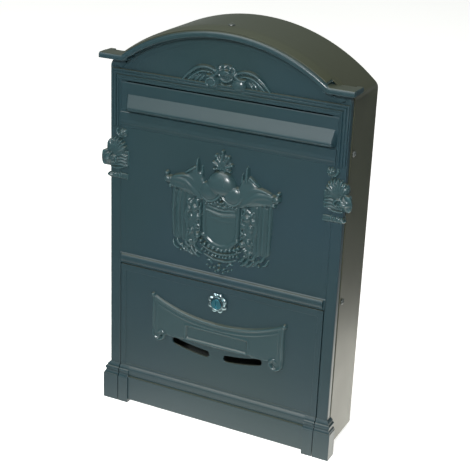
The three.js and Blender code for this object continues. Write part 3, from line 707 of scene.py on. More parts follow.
def rounded_section(front, back, z0, z1, steps=8):
    """A half-round bulge in y and z between two heights."""
    middle, half = (z0 + z1) / 2, (z1 - z0) / 2
    angles = [math.pi * i / steps - math.pi / 2 for i in range(steps + 1)]
    bulge = [(math.cos(a) * front, middle + half * math.sin(a)) for a in angles]
    return [(back, z0)] + bulge + [(back, z1)]


def bead_rail(made):
    """The convex rail between the large panel and the door, on its flat strip."""
    strip = [
        (PLATE_BACK, DOORWAY_TOP), (0.5, DOORWAY_TOP), (0, DOORWAY_TOP + 0.5), (0, 169.2), (0.8, 170),
        (PLATE_BACK, 170),
    ]
    made.bar(strip, -PILASTER_INNER - 6, PILASTER_INNER + 6)
    made.bar(rounded_section(-2.7, 0.6, 160.6, 169.0, 14), -PILASTER_INNER - 4, PILASTER_INNER + 4, 0.35)


def hood_section(rise):
    """The hood's section as (outward, y) points, from its underside to its rising top."""
    return [
        (-HOOD_LIP, HOOD_BACK + 0.2), (-HOOD_LIP, HOOD_FRONT + 0.7), (-HOOD_LIP + 0.5, HOOD_FRONT + 0.15),
        (-HOOD_LIP + 1.2, HOOD_FRONT), (-2.4, HOOD_FRONT), (-1.4, HOOD_FRONT + 0.25),
        (-0.5, HOOD_FRONT + 0.95), (-0.05, HOOD_FRONT + 1.9), (0.15 * rise, HOOD_FRONT + 3.2),
        (0.7 * rise, -4.0), (rise, HOOD_BACK),
    ]


def hood(made):
    """The arched hood with its level ears, and its two ends that wrap back along the sides."""
    centre = HOOD_TOP - HOOD_RADIUS
    meet = math.asin((EAR_TOP - centre) / HOOD_RADIUS)
    angles = np.linspace(meet, math.pi - meet, 72)
    curve = [(HOOD_RADIUS * math.cos(a), 0, centre + HOOD_RADIUS * math.sin(a)) for a in angles]
    made.sweep(curve[1:-1], hood_section(2.2))
    made.sweep([(EAR_HALF - 0.6, 0, EAR_TOP)] + curve[:2], hood_section(0.0))
    made.sweep(curve[-2:] + [(-EAR_HALF + 0.6, 0, EAR_TOP)], hood_section(0.0))
    side = [
        (EAR_HALF, -11.2), (EAR_HALF, 9.5), (EAR_HALF - 0.8, 11), (HALF_WIDTH + 0.1, 11),
        (HALF_WIDTH + 0.1, EAR_BACK), (100.0, EAR_BACK), (100.0, -11.2),
    ]
    for sign in (1, -1):
        verts = [(sign * x, y, z) for z in (EAR_BOTTOM, EAR_TOP - 0.15) for x, y in side]
        made.rings(verts, len(side), 1.1, 3)


def foot_profile(inner):
    """The foot mouldings as (outward, height) points: block, ovolo, torus and chamfer."""
    block = [(5.1, 0.0), (5.5, 0.5), (5.5, 28.9), (5.3, 29.5), (4.8, 29.8)]
    ovolo = [(4.6, 30.5), (4.2, 31.6), (3.5, 32.2), (3.3, 34.0)]
    torus = [(3.7, 34.5), (4.1, 35.3), (4.1, 36.2), (3.8, 37.1), (3.0, 37.7)]
    chamfer = [(2.5, 38.0), (2.4, 39.4), (0.2, 42.0)]
    return [(inner, 0.0)] + block + ovolo + torus + chamfer + [(inner, 42.0)]


def frame_feet(made):
    """The frame's half of each foot, with its mouldings mitred round the corner."""
    for side in (1, -1):
        path = [
            (side * HALF_WIDTH, RIM_BACK, 0), (side * HALF_WIDTH, 0, 0),
            (side * (DOORWAY_HALF + 0.05), 0, 0),
        ]
        made.sweep(path if side > 0 else path[::-1], foot_profile(-3.2), (0, 0, 1))
        tail = [(side * HALF_WIDTH, 9.0, 0), (side * HALF_WIDTH, RIM_BACK - 0.3, 0)]
        made.sweep(tail if side > 0 else tail[::-1], foot_profile(0.12), (0, 0, 1))


def frame_inside(made):
    """Behind the face: skirt, ledges round the doorway, ledge under the flap, lugs and stops."""
    skirt = [(-SHEET - 0.3, 20.9), (-SHEET - 0.3, RIM_BACK - 1), (-3.6, RIM_BACK - 1), (-3.6, 20.9)]
    made.sweep(on_plane(arch_path(0, 24)), skirt)
    wall, ledge = DOORWAY_HALF + 2.8, DOORWAY_HALF - 5.6
    top = DOORWAY_TOP
    made.side_boxes((DOORWAY_HALF, 1.6, 28), (wall, 11.3, top + 2.8), 0.3)
    made.side_boxes((ledge, 9.3, 32), (wall, 11.3, top + 2.8), 0.3)
    made.side_boxes((SLOT_HALF, PLATE_BACK - 0.4, 342), (117.6, 7.5, 352), 0.5)
    made.side_boxes((DOOR_HALF - 6, 6.4, 15.5), (DOORWAY_HALF + 3, 9.4, 22.5), 0.4)
    made.box((-wall, 2.6, top), (wall, 11.3, top + 2.8), 0.3)
    made.box((-wall, 9.3, top - 5.6), (wall, 11.3, top + 2.8), 0.3)
    made.box((-116, PLATE_BACK - 0.2, 314), (116, 5, 323), 0.3)


def cast_front():
    """The painted casting, except its ornament."""
    made = Shells()
    front_rim(made)
    front_fields(made)
    slot_frame(made)
    bead_rail(made)
    hood(made)
    frame_feet(made)
    frame_inside(made)
    return made.finish("front_casting", CAST, "case", "cast_paint", ["front_frame"])


# ---- Ornament on the casting -----------------------------------------------------------------


def crest_drapery(r):
    """One side of the crest: mantle sheet, its gathered roll, end knobs, spire and hanging pleats."""
    pleats = [
        (31, 248), (54, 250), (54.6, 232), (53, 214), (53.6, 203), (49, 197.5), (44, 200), (39, 196.5),
        (34, 199), (31, 206),
    ]
    wave = 0.35 * np.cos(2 * math.pi * (r.side * r.A - 1) / 3.6)
    r.plateau(pleats, 1.3, 1.6, wave)
    for x0, x1, z1, wide, high in (
        (35.6, 35.9, 200, 1.7, 1.7), (41.2, 41.0, 199, 2.3, 1.9), (45.4, 45.3, 200, 1.9, 2.1),
        (51.6, 51.4, 203, 2.0, 2.0),
    ):
        r.stroke([(x0, 251), (x1 + 0.5, 226), (x1, z1)], wide, high, 0.7, (0.8, 0.55), 2.6)
    sheet = [
        (18, 246), (15, 258), (19, 268), (25, 275), (29.5, 276.5), (33, 272), (41.5, 266.8), (50, 264.4),
        (58.6, 262.6), (60, 257), (55.5, 252), (46, 250.2), (38, 248.8), (28, 245.5),
    ]
    broad = 1.3 * np.sin(np.clip((r.B - 246) / 24, 0, 1) * math.pi)
    r.plateau(rounded(sheet, 3.0), 2.5, 4.0, broad)
    r.stroke(
        [(22, 247.5), (29, 252.6), (38.5, 259.4), (48, 260.6), (58, 259.4)], 4.4, 3.2, 1.6, (0.8, 0.6),
        2.4,
    )
    r.stroke([(24, 256), (31, 264), (40, 266), (52, 263.6)], 2.2, 1.8, 2.2, (0.6, 0.4))
    r.stroke([(26, 250.4), (36, 253.6), (46, 253.8), (55, 255)], 1.5, 1.2, 2.9, (0.5, 0.5))
    for kx, kz, ka, kb, high, turn in ((58.0, 259.8, 4.3, 3.8, 4.0, 15), (55.2, 253.4, 2.6, 2.3, 2.6, 0),
                                       (59.4, 265.4, 2.4, 2.0, 2.0, 20), (39.0, 261.0, 4.4, 3.0, 2.4, 35),
                                       (31.6, 255.2, 3.8, 2.8, 2.4, 40), (47.6, 262.6, 3.2, 2.3, 2.0, 0)):
        r.knob(kx, kz, ka, kb, high, 1.9, turn)
    r.stroke([(26.2, 270), (26.4, 278), (26.2, 286)], 1.7, 3.2, 1.0, (1.0, 0.35))
    r.stroke([(29.6, 276), (34, 273), (39.5, 269)], 1.5, 2.2, 1.4, (0.9, 0.5))
    r.stroke([(22.4, 264), (21.2, 272), (21.8, 279)], 1.3, 2.0, 0.8, (1.0, 0.3))


def crest_supporter(r):
    """One side of the crest: the column of foliage beside the shield, and the leaves at its foot."""
    r.stroke(
        [(26, 243), (31, 237), (27.5, 228), (31.5, 219), (28, 210), (31.5, 202), (27.5, 195)], 4.6, 2.2,
        0.6, (0.6, 0.5),
    )
    for kx, kz, ka, kb, high, turn in ((28.0, 235.0, 4.3, 3.6, 3.6, 35), (34.6, 232.4, 2.4, 3.4, 2.6, 20),
                                       (24.8, 226.0, 2.5, 3.4, 2.4, -20), (32.4, 224.5, 2.6, 3.8, 2.4, 10),
                                       (26.6, 217.0, 2.6, 3.2, 2.2, -15), (31.0, 211.0, 2.7, 4.2, 3.6, 20),
                                       (24.4, 207.6, 3.5, 3.2, 3.6, 0), (18.6, 209.4, 2.3, 2.2, 2.6, 0),
                                       (32.6, 199.6, 2.8, 2.2, 3.0, 10), (27.8, 201.0, 2.2, 2.4, 2.2, 0)):
        r.knob(kx, kz, ka, kb, high, 1.3, turn)
    r.stroke([(34.4, 240), (37.6, 232), (38.2, 222), (35.2, 213.6)], 1.3, 2.2, 0.6, (0.5, 0.5))
    r.stroke([(22.2, 241), (22.6, 231), (22.0, 219), (23, 212)], 1.2, 2.0, 0.8, (0.6, 0.5))
    r.stroke([(25.8, 245), (25.2, 238), (22.8, 234)], 1.6, 2.4, 1.0, (0.5, 0.4))
    for x0, z0, x1, z1, wide in (
        (38.4, 199.5, 32.0, 192.6, 2.0), (31.8, 193.8, 22.4, 184.4, 2.2), (36.6, 193.0, 28.6, 184.6, 1.7),
        (27.4, 196.6, 19.8, 188.2, 1.8), (47.6, 199.4, 41.2, 192.2, 1.8), (52.0, 196.0, 45.4, 188.4, 1.5),
        (41.6, 194.0, 34.6, 186.6, 1.4),
    ):
        middle = ((x0 + x1) / 2 + 1.0, (z0 + z1) / 2 - 1.0)
        r.stroke([(x0, z0), middle, (x1, z1)], wide, 2.3, 0.3, (0.5, 0.3))
    scatter = np.random.default_rng(11)
    for i in range(46):
        z = 244 - 58 * (i + 0.5) / 46
        x = scatter.uniform(22, 36) if z > 203 else scatter.uniform(6, 43)
        ra, rb = scatter.uniform(0.9, 1.9), scatter.uniform(0.9, 2.6)
        r.knob(x, z, ra, rb, scatter.uniform(1.0, 2.2), 1.2, r.side * scatter.uniform(-60, 60))


def crest_shield(r):
    """The plain shield, with curved bars across its head and a collar of beads below."""
    outline = [
        (-20.5, 247), (-20.3, 216), (-18.6, 206), (-11, 198.4), (0, 194.8), (11, 198.4), (18.6, 206),
        (20.3, 216), (20.5, 247),
    ]
    r.plateau(rounded(outline, 2.5), 2.3, 2.2)
    inner = r.edge_distance(
        rounded(
            [
                (-17, 244), (-16.8, 217), (-15, 208), (-8, 202.4), (0, 200.4), (8, 202.4), (15, 208),
                (16.8, 217), (17, 244),
            ],
            2.5,
        )
    )
    r.H = r.H - 1.2 * np.clip(inner / 1.0, 0, 1) * (r.H > 1)
    for z, sag, wide, high in (
        (241.5, 1.6, 1.5, 2.0), (237.4, 2.4, 1.1, 1.5), (232.6, 2.8, 1.7, 2.0), (226.6, 2.4, 0.9, 0.7),
    ):
        r.stroke(
            [(-16, z + sag), (-8, z + 0.4 * sag), (0, z), (8, z + 0.4 * sag), (16, z + sag)], wide, high,
            0.9, (0.8, 0.8),
        )
    r.beads(
        [(-24, 205.5), (-17, 200.6), (-8, 197.4), (0, 196.2), (8, 197.4), (17, 200.6), (24, 205.5)], 1.95,
        2.6, 12, 1.5,
    )
    r.beads([(-19, 193.8), (-9, 190.2), (0, 189.0), (9, 190.2), (19, 193.8)], 1.5, 2.2, 11, 0.9)
    r.stroke([(-22, 198.4), (-11, 193.4), (0, 191.8), (11, 193.4), (22, 198.4)], 1.5, 1.7, 0.5, (0.7, 0.7))
    r.stroke([(-17, 188.4), (-8, 185.4), (0, 184.6), (8, 185.4), (17, 188.4)], 1.6, 1.6, 0.3, (0.6, 0.6))


def crest_canopy(r):
    """The domed canopy with its scalloped lower edge, and the fleuron on top, alike on both sides."""
    dome = np.hypot(r.A / 15.6, (r.B - 262.2) / np.where(r.B > 262.2, 15.2, 9.5))
    r.lay(np.where(dome < 1, 0.8 + 7.4 * np.sqrt(np.maximum(1 - dome**2, 0)), (1 - dome) * 15))
    for r.side in (1, -1):
        lobe = np.hypot((r.A - r.side * 12.4) / 10.2, (r.B - 255.6) / 9.4)
        r.lay(np.where(lobe < 1, 1.9 + 4.5 * np.sqrt(np.maximum(1 - lobe**2, 0)), (1 - lobe) * 10))
        scallop = [(0, 254), (5.6, 248.4), (12.2, 245.8), (18.4, 248.4), (22.6, 255)]
        r.stroke(scallop, 1.9, 2.4, 2.9, (0.8, 0.7))
        r.knob(14.6, 253.0, 4.0, 3.0, 1.8, 3.7, 40)
        r.beads([(3, 246.4), (9, 243.4), (16, 242.4)], 1.3, 2.0, 5, 2.0)
        r.knob(2.8, 241.4, 1.6, 1.5, 1.8, 2.2)
        r.knob(3.0, 286.2, 2.0, 2.4, 2.4, 1.9, 15)
    r.side = 1
    r.plateau(
        rounded([(-7, 277), (7, 277), (10, 284), (7, 292), (0, 295), (-7, 292), (-10, 284)], 3.0), 1.6,
        2.4,
    )
    for turn in (-64, -32, 0, 32, 64):
        length = 18.0 - 0.07 * abs(turn)
        lean, up = math.sin(math.radians(turn)), math.cos(math.radians(turn))
        tip = (length * lean * 0.8, 278.6 + length * up)
        middle = (0.45 * tip[0], 278.6 + 0.55 * length * up)
        r.stroke([(2.6 * lean, 278.6), middle, tip], 2.0, 3.0, 0.9, (0.8, 0.6))
        r.knob(tip[0], tip[1], 1.9, 1.7, 2.6, 1.0)
    r.beads([(-8.5, 278.2), (0, 280), (8.5, 278.2)], 1.5, 2.4, 8, 1.4)
    for z, high in ((249.4, 2.2), (245.0, 2.0)):
        r.knob(0, z, 1.6, 1.5, high, 2.2)


def crest():
    """A generic crest: plain shield, domed canopy, mantle with hanging pleats, foliage and beads."""
    r = Relief(-64, 64, 166, 300, 0.5)
    for r.side in (1, -1):
        crest_drapery(r)
        crest_supporter(r)
    r.side = 1
    crest_shield(r)
    crest_canopy(r)
    for x, z, size in (
        (0.5, 180.2, 1.9), (5.4, 176.8, 1.7), (9.9, 175.4, 1.5), (4.2, 172.4, 1.4), (13.6, 177.8, 1.2),
    ):
        for r.side in (1, -1):
            r.knob(x, z, size, 0.9 * size, 1.2 * size, 0.5)
    for r.side in (-1, 1):
        r.stroke([(8, 180.4), (11.3, 183.4), (14.6, 183.0)], 1.4, 1.8, 0.3, (0.6, 0.3))
    r.knob(0, 175.6, 2.0, 1.9, 2.6, 1.2)
    r.soften(0.34)
    mesh = r.mesh("crest_relief", on_face(FIELD))
    return settle("crest_relief", mesh, RELIEF_ENAMEL_LIT, "case", sharp=CAST_SHARP)


def scroll():
    """The scroll of leaves in the arched field: a low shell between two rolled S bands."""
    r = Relief(-54, 54, 353, 388, 0.45)
    for r.side in (1, -1):
        outer = [(48, 357.4), (43.4, 362.6), (37, 369), (29.5, 374), (22, 375.6), (14.6, 374.4), (8, 371)]
        r.stroke(outer, 2.0, 2.7, 0.3, (0.3, 0.8))
        inner = [(43.4, 356.6), (39.4, 361), (33.6, 366.4), (27, 370.4), (20.4, 371.4), (15, 370.6)]
        r.stroke(inner, 1.3, 2.1, 0.2, (0.3, 0.7))
        for x0, z0, x1, z1 in ((31, 366, 37.4, 358.4), (27, 366.6, 32.6, 357.6), (23.4, 366, 28, 357)):
            r.stroke(
                [(x0, z0), ((x0 + x1) / 2 + 1.2, (z0 + z1) / 2 + 0.6), (x1, z1)], 1.5, 1.7, 0.1,
                (0.7, 0.3),
            )
        r.knob(13.6, 362.4, 7.4, 6.2, 4.2, 0.4)
        turns = [(0.62 * k - 1.0, 1 - k / 17) for k in range(14)]
        curl = [(13.6 + 6.4 * share * math.cos(a), 362.4 + 5.4 * share * math.sin(a)) for a, share in turns]
        if r.side < 0:
            r.stroke(curl, 1.3, 1.6, 3.6, (0.8, 0.8), steps=4)
        r.stroke([(7.4, 373.4), (11, 369.6), (15.6, 367.4), (20.4, 368.2)], 2.0, 2.6, 1.2, (0.8, 0.4))
        r.stroke([(2, 357.6), (10, 355.4), (20, 355), (30, 356.2)], 1.1, 1.4, 0.2, (0.8, 0.3))
    r.side = 1
    shell = [
        (-12.5, 371), (-10.4, 377.4), (-4.4, 380.6), (4.4, 380.6), (10.4, 377.4), (12.5, 371), (4, 366),
        (-4, 366),
    ]
    flutes = 0.9 * np.cos(15 * np.arctan2(r.B - 364.0, r.A))
    r.plateau(rounded(shell, 4.0), 2.2, 3.0, flutes)
    r.knob(0, 372.6, 6.6, 3.6, 3.4, 1.6)
    r.knob(2.0, 373.8, 4.0, 1.9, 1.6, 3.9, -12)
    r.stroke([(-6.5, 366.8), (0, 364.4), (6.5, 366.8)], 1.8, 2.2, 0.8, (0.6, 0.6))
    r.stroke([(-5, 361.6), (0, 360), (5, 361.6)], 1.5, 1.8, 0.6, (0.6, 0.6))
    r.soften(0.34)
    mesh = r.mesh("scroll_relief", on_face(FIELD))
    return settle("scroll_relief", mesh, RELIEF_ENAMEL_LIT, "case", sharp=CAST_SHARP)


def capital_bell(r):
    """The capital's body: three bands, two scrolls and the stalks under its leaves."""
    A, B = r.A, r.B
    ends = np.clip((A + 21.0) / 9, 0, 1) * np.clip((8.4 - A) / 4, 0, 1)
    bands = (
        (262.0, 277.2, 2.2, 6.8, 5.0, 1.2),
        (274.8, 278.6, 1.4, 1.4, 6.0, 2.0),
        (248.8, 255.0, 1.1, 2.8, 4.6, 1.2),
    )
    for z0, z1, low, tip, spread, power in bands:
        middle, half = (z0 + z1) / 2, (z1 - z0) / 2
        across = np.clip(1 - np.abs((B - middle) / half) ** power, 0, 1) ** (1 / max(power, 1.0))
        height = (low + tip * np.exp(-((A / spread) ** 2))) * across * ends ** 0.5
        r.lay(np.where((across > 0) & (ends > 0), height, -1.0))
    for at, turn in ((-6.4, 1), (5.4, -1)):
        spiral = [(0.7 * k, 1 - k / 13) for k in range(11)]
        curl = [
            (at + turn * 4.2 * w * math.cos(t + 0.6), 268.6 + 4.4 * w * math.sin(t + 0.6))
            for t, w in spiral
        ]
        r.stroke(curl, 1.2, 1.5, 3.6, (0.9, 0.9), steps=4)
    for x1, z1 in ((-3.4, 275.4), (0.4, 277.2), (4.0, 276.2), (7.0, 273.0)):
        under = 0.9 + 6.4 * math.exp(-((x1 / 5.0) ** 2))
        r.stroke([(0.8, 261.8), (0.35 * x1 + 1.0, 268.4), (x1, z1)], 1.35, 2.4, under, (0.5, 0.9))


def capital_leaves(r):
    """The leafy ball, its spray of leaves and the rosette beside it."""
    r.knob(-7.6, 280.6, 10.4, 9.6, 3.0, 0.6)
    leaves = (
        (-18.4, 282.6), (-16.8, 286.4), (-14.2, 289.2), (-10.8, 291.0), (-7.2, 291.4), (-3.6, 290.4),
        (-0.6, 288.2), (2.4, 286.4), (5.6, 285.0), (7.4, 281.4),
    )
    for i, (x1, z1) in enumerate(leaves):
        x0 = -8.6 + 0.8 * i
        r.stroke(
            [(x0, 276.6), ((x0 + x1) / 2 - 0.4, (277 + z1) / 2 + 0.6), (x1, z1)], 1.45, 2.2, 2.0,
            (0.9, 0.6),
        )
    r.knob(2.4, 283.0, 3.9, 4.8, 2.6, 1.2)
    for i in range(6):
        t = 2 * math.pi * i / 6 + 0.4
        r.knob(-15.0 + 2.5 * math.cos(t), 297.0 + 2.5 * math.sin(t), 1.6, 1.4, 1.6, 0.5, math.degrees(t))
    r.knob(-15.0, 297.0, 2.1, 2.1, 3.0, 1.0)


def capital_tails(r):
    """Tendrils over the rosette and along the side, and the flutes of the lowest band."""
    r.stroke([(-14, 293), (-10.6, 294.4), (-8.4, 297.6), (-9.2, 300.6)], 1.5, 1.8, 0.4, (0.8, 0.4))
    r.stroke([(-17, 293.6), (-18.6, 296.6), (-17.8, 300.6)], 1.1, 1.2, 0.3, (0.7, 0.3))
    for z0, z1, high in ((274.0, 272.6, 1.1), (270.8, 269.4, 1.3), (267.4, 266.2, 1.2), (264.0, 263.4, 0.8)):
        r.stroke(
            [(-20.0, z0 - 0.8), (-14, z0 + 0.4), (-7, z1), (-1.6, z1 - 0.4)], 1.5, high, 1.9, (0.2, 0.8),
        )
    r.stroke([(-17.6, 262.4), (-12, 260.4), (-6, 259.8), (-1, 260.4)], 1.2, 0.9, 0.7, (0.3, 0.7))
    for x0 in (-13, -9.4, -6.0, -2.6):
        r.stroke([(x0, 250.4), (x0 + 0.8, 252.4), (x0 + 1.0, 254.6)], 1.0, 0.8, 1.4, (0.7, 0.7))


def capital(side):
    """A leafy capital wrapped round the front corner of a pilaster, with a volute at the corner."""
    r = Relief(-24, 10, 246, 305, 0.45)
    capital_bell(r)
    capital_leaves(r)
    capital_tails(r)
    r.soften(0.32)
    bend = 2.2  # half the width of relief that goes round the corner
    radius = bend * 0.64

    def wrap(a, b, h):
        """Unrolls from the middle of the front face, round the corner and back along the side."""
        angle = np.clip((a + bend) / (2 * bend), 0, 1) * math.pi / 2
        out = h + radius
        cx, cy = HALF_WIDTH - radius, radius
        x = np.where(a < -bend, cx + (a + bend), cx) + out * np.sin(angle)
        y = np.where(a > bend, cy + (a - bend), cy) - out * np.cos(angle)
        return np.stack([side * x, y, b], 1)

    name = "capital_right" if side > 0 else "capital_left"
    return settle(name, r.mesh(name, wrap, 1.0), RELIEF_ENAMEL_LIT, "case", sharp=CAST_SHARP)


# ---- Letter flap -----------------------------------------------------------------------------


def mail_flap():
    """The flap: flat above, and below it a raised lip with rounded ends to lift it by."""
    made = Shells()
    half = FLAP_HALF
    wall = [
        (0.6, FLAP_AXIS_Z + 0.4), (0.6, FLAP_BOTTOM + 0.4), (1.2, FLAP_BOTTOM), (2.4, FLAP_BOTTOM),
        (2.7, FLAP_BOTTOM + 0.4), (2.7, FLAP_AXIS_Z),
    ]
    made.bar(wall, -half + 0.7, half - 0.2)
    turned = [(1.5, 0), (2.2, 0), (2.4, 0.2), (2.4, 2 * half - 0.2), (2.2, 2 * half), (1.5, 2 * half)]
    made.lathe(turned, (-half, FLAP_AXIS_Y, FLAP_AXIS_Z), "x", 28, closed=True)
    lip(made, -half + 7.0, half - 0.3)
    return made.finish("flap_casting", CAST, "flap", "cast_paint", ["mail_flap"])


def lip(made, x0, x1):
    """The raised lip along the flap, a wedge whose ends slope in and whose corners are rounded."""
    section = [
        (1.2, 337.4), (0.8, 336.8), (0.2, 335.8), (-3.6, 330.0), (-6.4, 325.8), (FLAP_FRONT, 324.7),
        (FLAP_FRONT + 0.1, 323.6), (-6.2, 322.4), (-5.0, 321.4), (-3.6, FLAP_BOTTOM), (1.2, FLAP_BOTTOM),
    ]
    rise = [
        (0.0, 0.0, 3.0), (0.1, 0.45, 2.0), (0.35, 0.75, 1.0), (0.8, 0.9, 0.4), (1.5, 0.98, 0.1),
        (2.4, 1.0, 0.0),
    ]
    left = [(x0 + 0.6 * d, share, lift) for d, share, lift in rise]
    slope = [(0.0, 0.0), (0.3, 0.12), (2.6, 0.9), (3.1, 0.98), (3.8, 1.0)]
    right = [(x1 - d, share, 0.0) for d, share in slope[::-1]]
    verts = []
    for x, share, lift in left + right:
        lean = 0.4 if x < 0 else 0.0
        for y, z in section:
            low = max(0.0, (329.0 - z) / 8.4)
            out = (1.2 - y) * share
            verts.append((x + lean * out, 1.2 - out, z + lift * low))
    made.rings(verts, len(section))


# ---- Lower door ------------------------------------------------------------------------------


def smile(x0, x1, middle, radius, height, steps=18):
    """A band bent upwards at both ends, with round ends."""
    centre, half = middle + radius, height / 2
    angles = np.linspace(-math.pi / 2 + math.asin(x0 / radius), -math.pi / 2 + math.asin(x1 / radius), steps)

    def at(r, a):
        return (r * math.cos(a), centre + r * math.sin(a))

    def cap(a, start):
        cx, cz = at(radius, a)
        return [
            (cx + half * math.cos(t), cz + half * math.sin(t))
            for t in np.linspace(start, start + math.pi, 10)[1:-1]
        ]

    outer = [at(radius + half, a) for a in angles]
    inner = [at(radius - half, a) for a in angles[::-1]]
    return outer + cap(angles[-1], angles[-1]) + inner + cap(angles[0], angles[0] + math.pi)


def circle(radius, x, z, steps=40):
    """Points round a circle; six steps make a hexagon."""
    angles = [2 * math.pi * i / steps for i in range(steps)]
    return [(x + radius * math.cos(a), z + radius * math.sin(a)) for a in angles]


def rectangle(half, z0, z1, x=0.0):
    return [(x - half, z0), (x + half, z0), (x + half, z1), (x - half, z1)]


def door_panel(made):
    """The door's sunk field with its slots and lock hole, the border round it, and the rim behind."""
    slots = [smile(*ends, 79.3, 187, 7.3) for ends in ((11.5, 47), (-47, -11.5))]
    hole = circle(7.9, 0, LOCK_Z)
    made.plate([rectangle(DOOR_HALF - 0.6, 38, DOOR_TOP - 0.6), *slots, hole], 0.6, 2.6, 0.25, 2)
    border = [
        rounded(rectangle(DOOR_HALF, BAND_TOP - 1, DOOR_TOP), 1.0),
        rounded(rectangle(106, 44, 150.6), 1.2),
    ]
    made.plate(border, 0.0, 1.8, 0.5, 3)
    made.box((-DOOR_HALF, 1.0, DOOR_TOP - 2.4), (DOOR_HALF, 8.8, DOOR_TOP), 0.4)
    made.side_boxes((DOOR_HALF - 2.4, 1.0, 32), (DOOR_HALF, 8.8, DOOR_TOP), 0.4)


def plinth(made):
    """The moulded plinth along the foot of the door, between its two foot halves."""
    section = [
        (5.0, PLINTH_BOTTOM), (-3.5, PLINTH_BOTTOM), (-4.0, 4.0), (-4.0, 30.0), (-3.8, 30.5),
        (-3.2, 30.8), (-2.2, 31.0), (-1.9, 31.5), (-1.9, 32.2), (-2.4, 32.6), (-2.8, 33.4), (-2.8, 38.6),
        (-2.5, 39.4), (-1.8, 39.9), (-1.4, 40.6), (-0.4, 41.2), (0.3, 42.0), (2.6, 42.0), (2.6, 40.0),
        (0.2, 37.0), (0.2, 30.5), (-1.4, 28.0), (-1.4, 6.2), (5.0, 6.2),
    ]
    made.bar(section, -FOOT_INNER - 0.6, FOOT_INNER + 0.6)


def door_feet(made):
    """The door's half of each foot, with the same mouldings as the frame's half."""
    front = [(-u, z) for u, z in foot_profile(-3.0)[1:-1]]
    section = [(6.0, 0.0)] + front + [(3.0, 42.0), (3.0, 36.5), (4.0, 36.5), (4.0, 29.7), (6.0, 29.7)]
    for s in (1, -1):
        xs = sorted((s * FOOT_INNER, s * DOOR_HALF))
        made.bar(section, xs[0], xs[1], 0.35)


def swag():
    """The swag across the door: a drooping band with curled ends and a sunk name field."""
    r = Relief(-80, 80, 80, 138, 0.5)
    top = through(
        [
            (-73.5, 131.6), (-60, 125.4), (-40, 119.0), (-20, 115.6), (0, 114.6), (20, 115.6),
            (40, 119.0), (60, 125.4), (73.5, 131.6),
        ],
        8,
    )
    low = through(
        [
            (73, 86.5), (66, 84.6), (59.5, 90), (40, 90.2), (20, 89.0), (0, 88.6), (-20, 89.0),
            (-40, 90.2), (-59.5, 90), (-66, 84.6), (-73, 86.5),
        ],
        6,
    )
    r.plateau(np.vstack([top, low]), 1.9, 1.5)
    r.stroke(top, 1.9, 2.2, 0.9, (0.8, 0.8), steps=3)
    lower = top - (0, 5.0)
    r.stroke(lower[3:-3], 1.3, 1.3, 1.5, (0.7, 0.7), steps=3)
    for r.side in (1, -1):
        r.stroke([(72.4, 131), (72.0, 118), (72.4, 104), (72.2, 92)], 1.9, 2.2, 0.9, (0.9, 0.9))
        r.stroke([(68.6, 127), (68.2, 116), (68.4, 104), (68.2, 94)], 1.2, 1.0, 1.6, (0.6, 0.8))
        curl = [
            (72.3, 94), (71.6, 86.6), (66.5, 82.8), (61.2, 85.4), (59.8, 90.4), (63.4, 93.4),
            (66.8, 90.4),
        ]
        r.stroke(curl, 2.2, 2.6, 0.9, (0.8, 0.5))
        r.stroke([(60.4, 91), (50, 90.4), (38, 89.8)], 1.3, 1.3, 0.8, (0.8, 0.4))
        r.knob(73.4, 131.4, 2.6, 2.6, 2.2, 0.9)
    r.side = 1
    inset = r.edge_distance(rounded(rectangle(35.5, 91.2, 107.4), 1.4))
    rim = np.clip(1 - np.abs(inset - 0.2) / 1.3, 0, 1) ** 0.5
    r.H = np.where(r.H > 0, r.H + 0.8 * rim - 1.3 * np.clip((inset - 1.2) / 0.8, 0, 1), r.H)
    r.soften(0.4)
    return settle(
        "door_swag", r.mesh("door_swag", on_face(0.6)), RELIEF_ENAMEL_LIT, "door", sharp=CAST_SHARP,
    )


def lower_door():
    """The painted door casting, except its swag."""
    made = Shells()
    door_panel(made)
    plinth(made)
    door_feet(made)
    return made.finish("door_casting", CAST, "door", "cast_paint", ["lower_door"])


# ---- Lock ------------------------------------------------------------------------------------


def lock_rosette():
    """The collar of eight rounded petals round the lock."""
    r = Relief(-11.6, 11.6, LOCK_Z - 11.6, LOCK_Z + 11.6, 0.22)
    reach = np.hypot(r.A, r.B - LOCK_Z)
    r.lay(np.where(reach < 9.2, 0.7 * np.sqrt(np.clip(1 - (reach / 9.2) ** 4, 0, 1)), 9.2 - reach))
    for i in range(8):
        a = math.pi / 4 * i + math.pi / 8
        c, s = math.cos(a), math.sin(a)
        r.knob(8.0 * c, LOCK_Z + 8.0 * s, 3.0, 3.0, 1.9, 0.35, math.degrees(a))
        r.knob(7.0 * math.cos(a + math.pi / 8), LOCK_Z + 7.0 * math.sin(a + math.pi / 8), 1.4, 1.2, 0.8, 0.5)
    r.soften(0.12)
    mesh = r.mesh("lock_petals", on_face(-0.3), 0.0)
    return settle("lock_petals", mesh, CHROME, "door", ["lock_rosette"], 80)


def lock_body():
    """The barrel of the lock: rolled rim in front, thread behind the door."""
    made = Shells()
    thread = [(7.6 if i % 2 else 7.2, 6.0 + 0.35 * i) for i in range(22)]
    outer = [(5.6, -2.6), (5.75, -3.3), (6.2, -3.7), (6.75, -3.5), (7.1, -2.9), (7.3, -1.0), (7.3, 5.9)]
    made.lathe(outer + thread + [(7.3, 13.8), (5.6, 13.8)], (0, 0, LOCK_Z), closed=True)
    return made.finish("lock_barrel", CHROME, "door", "chrome", ["lock_body"])


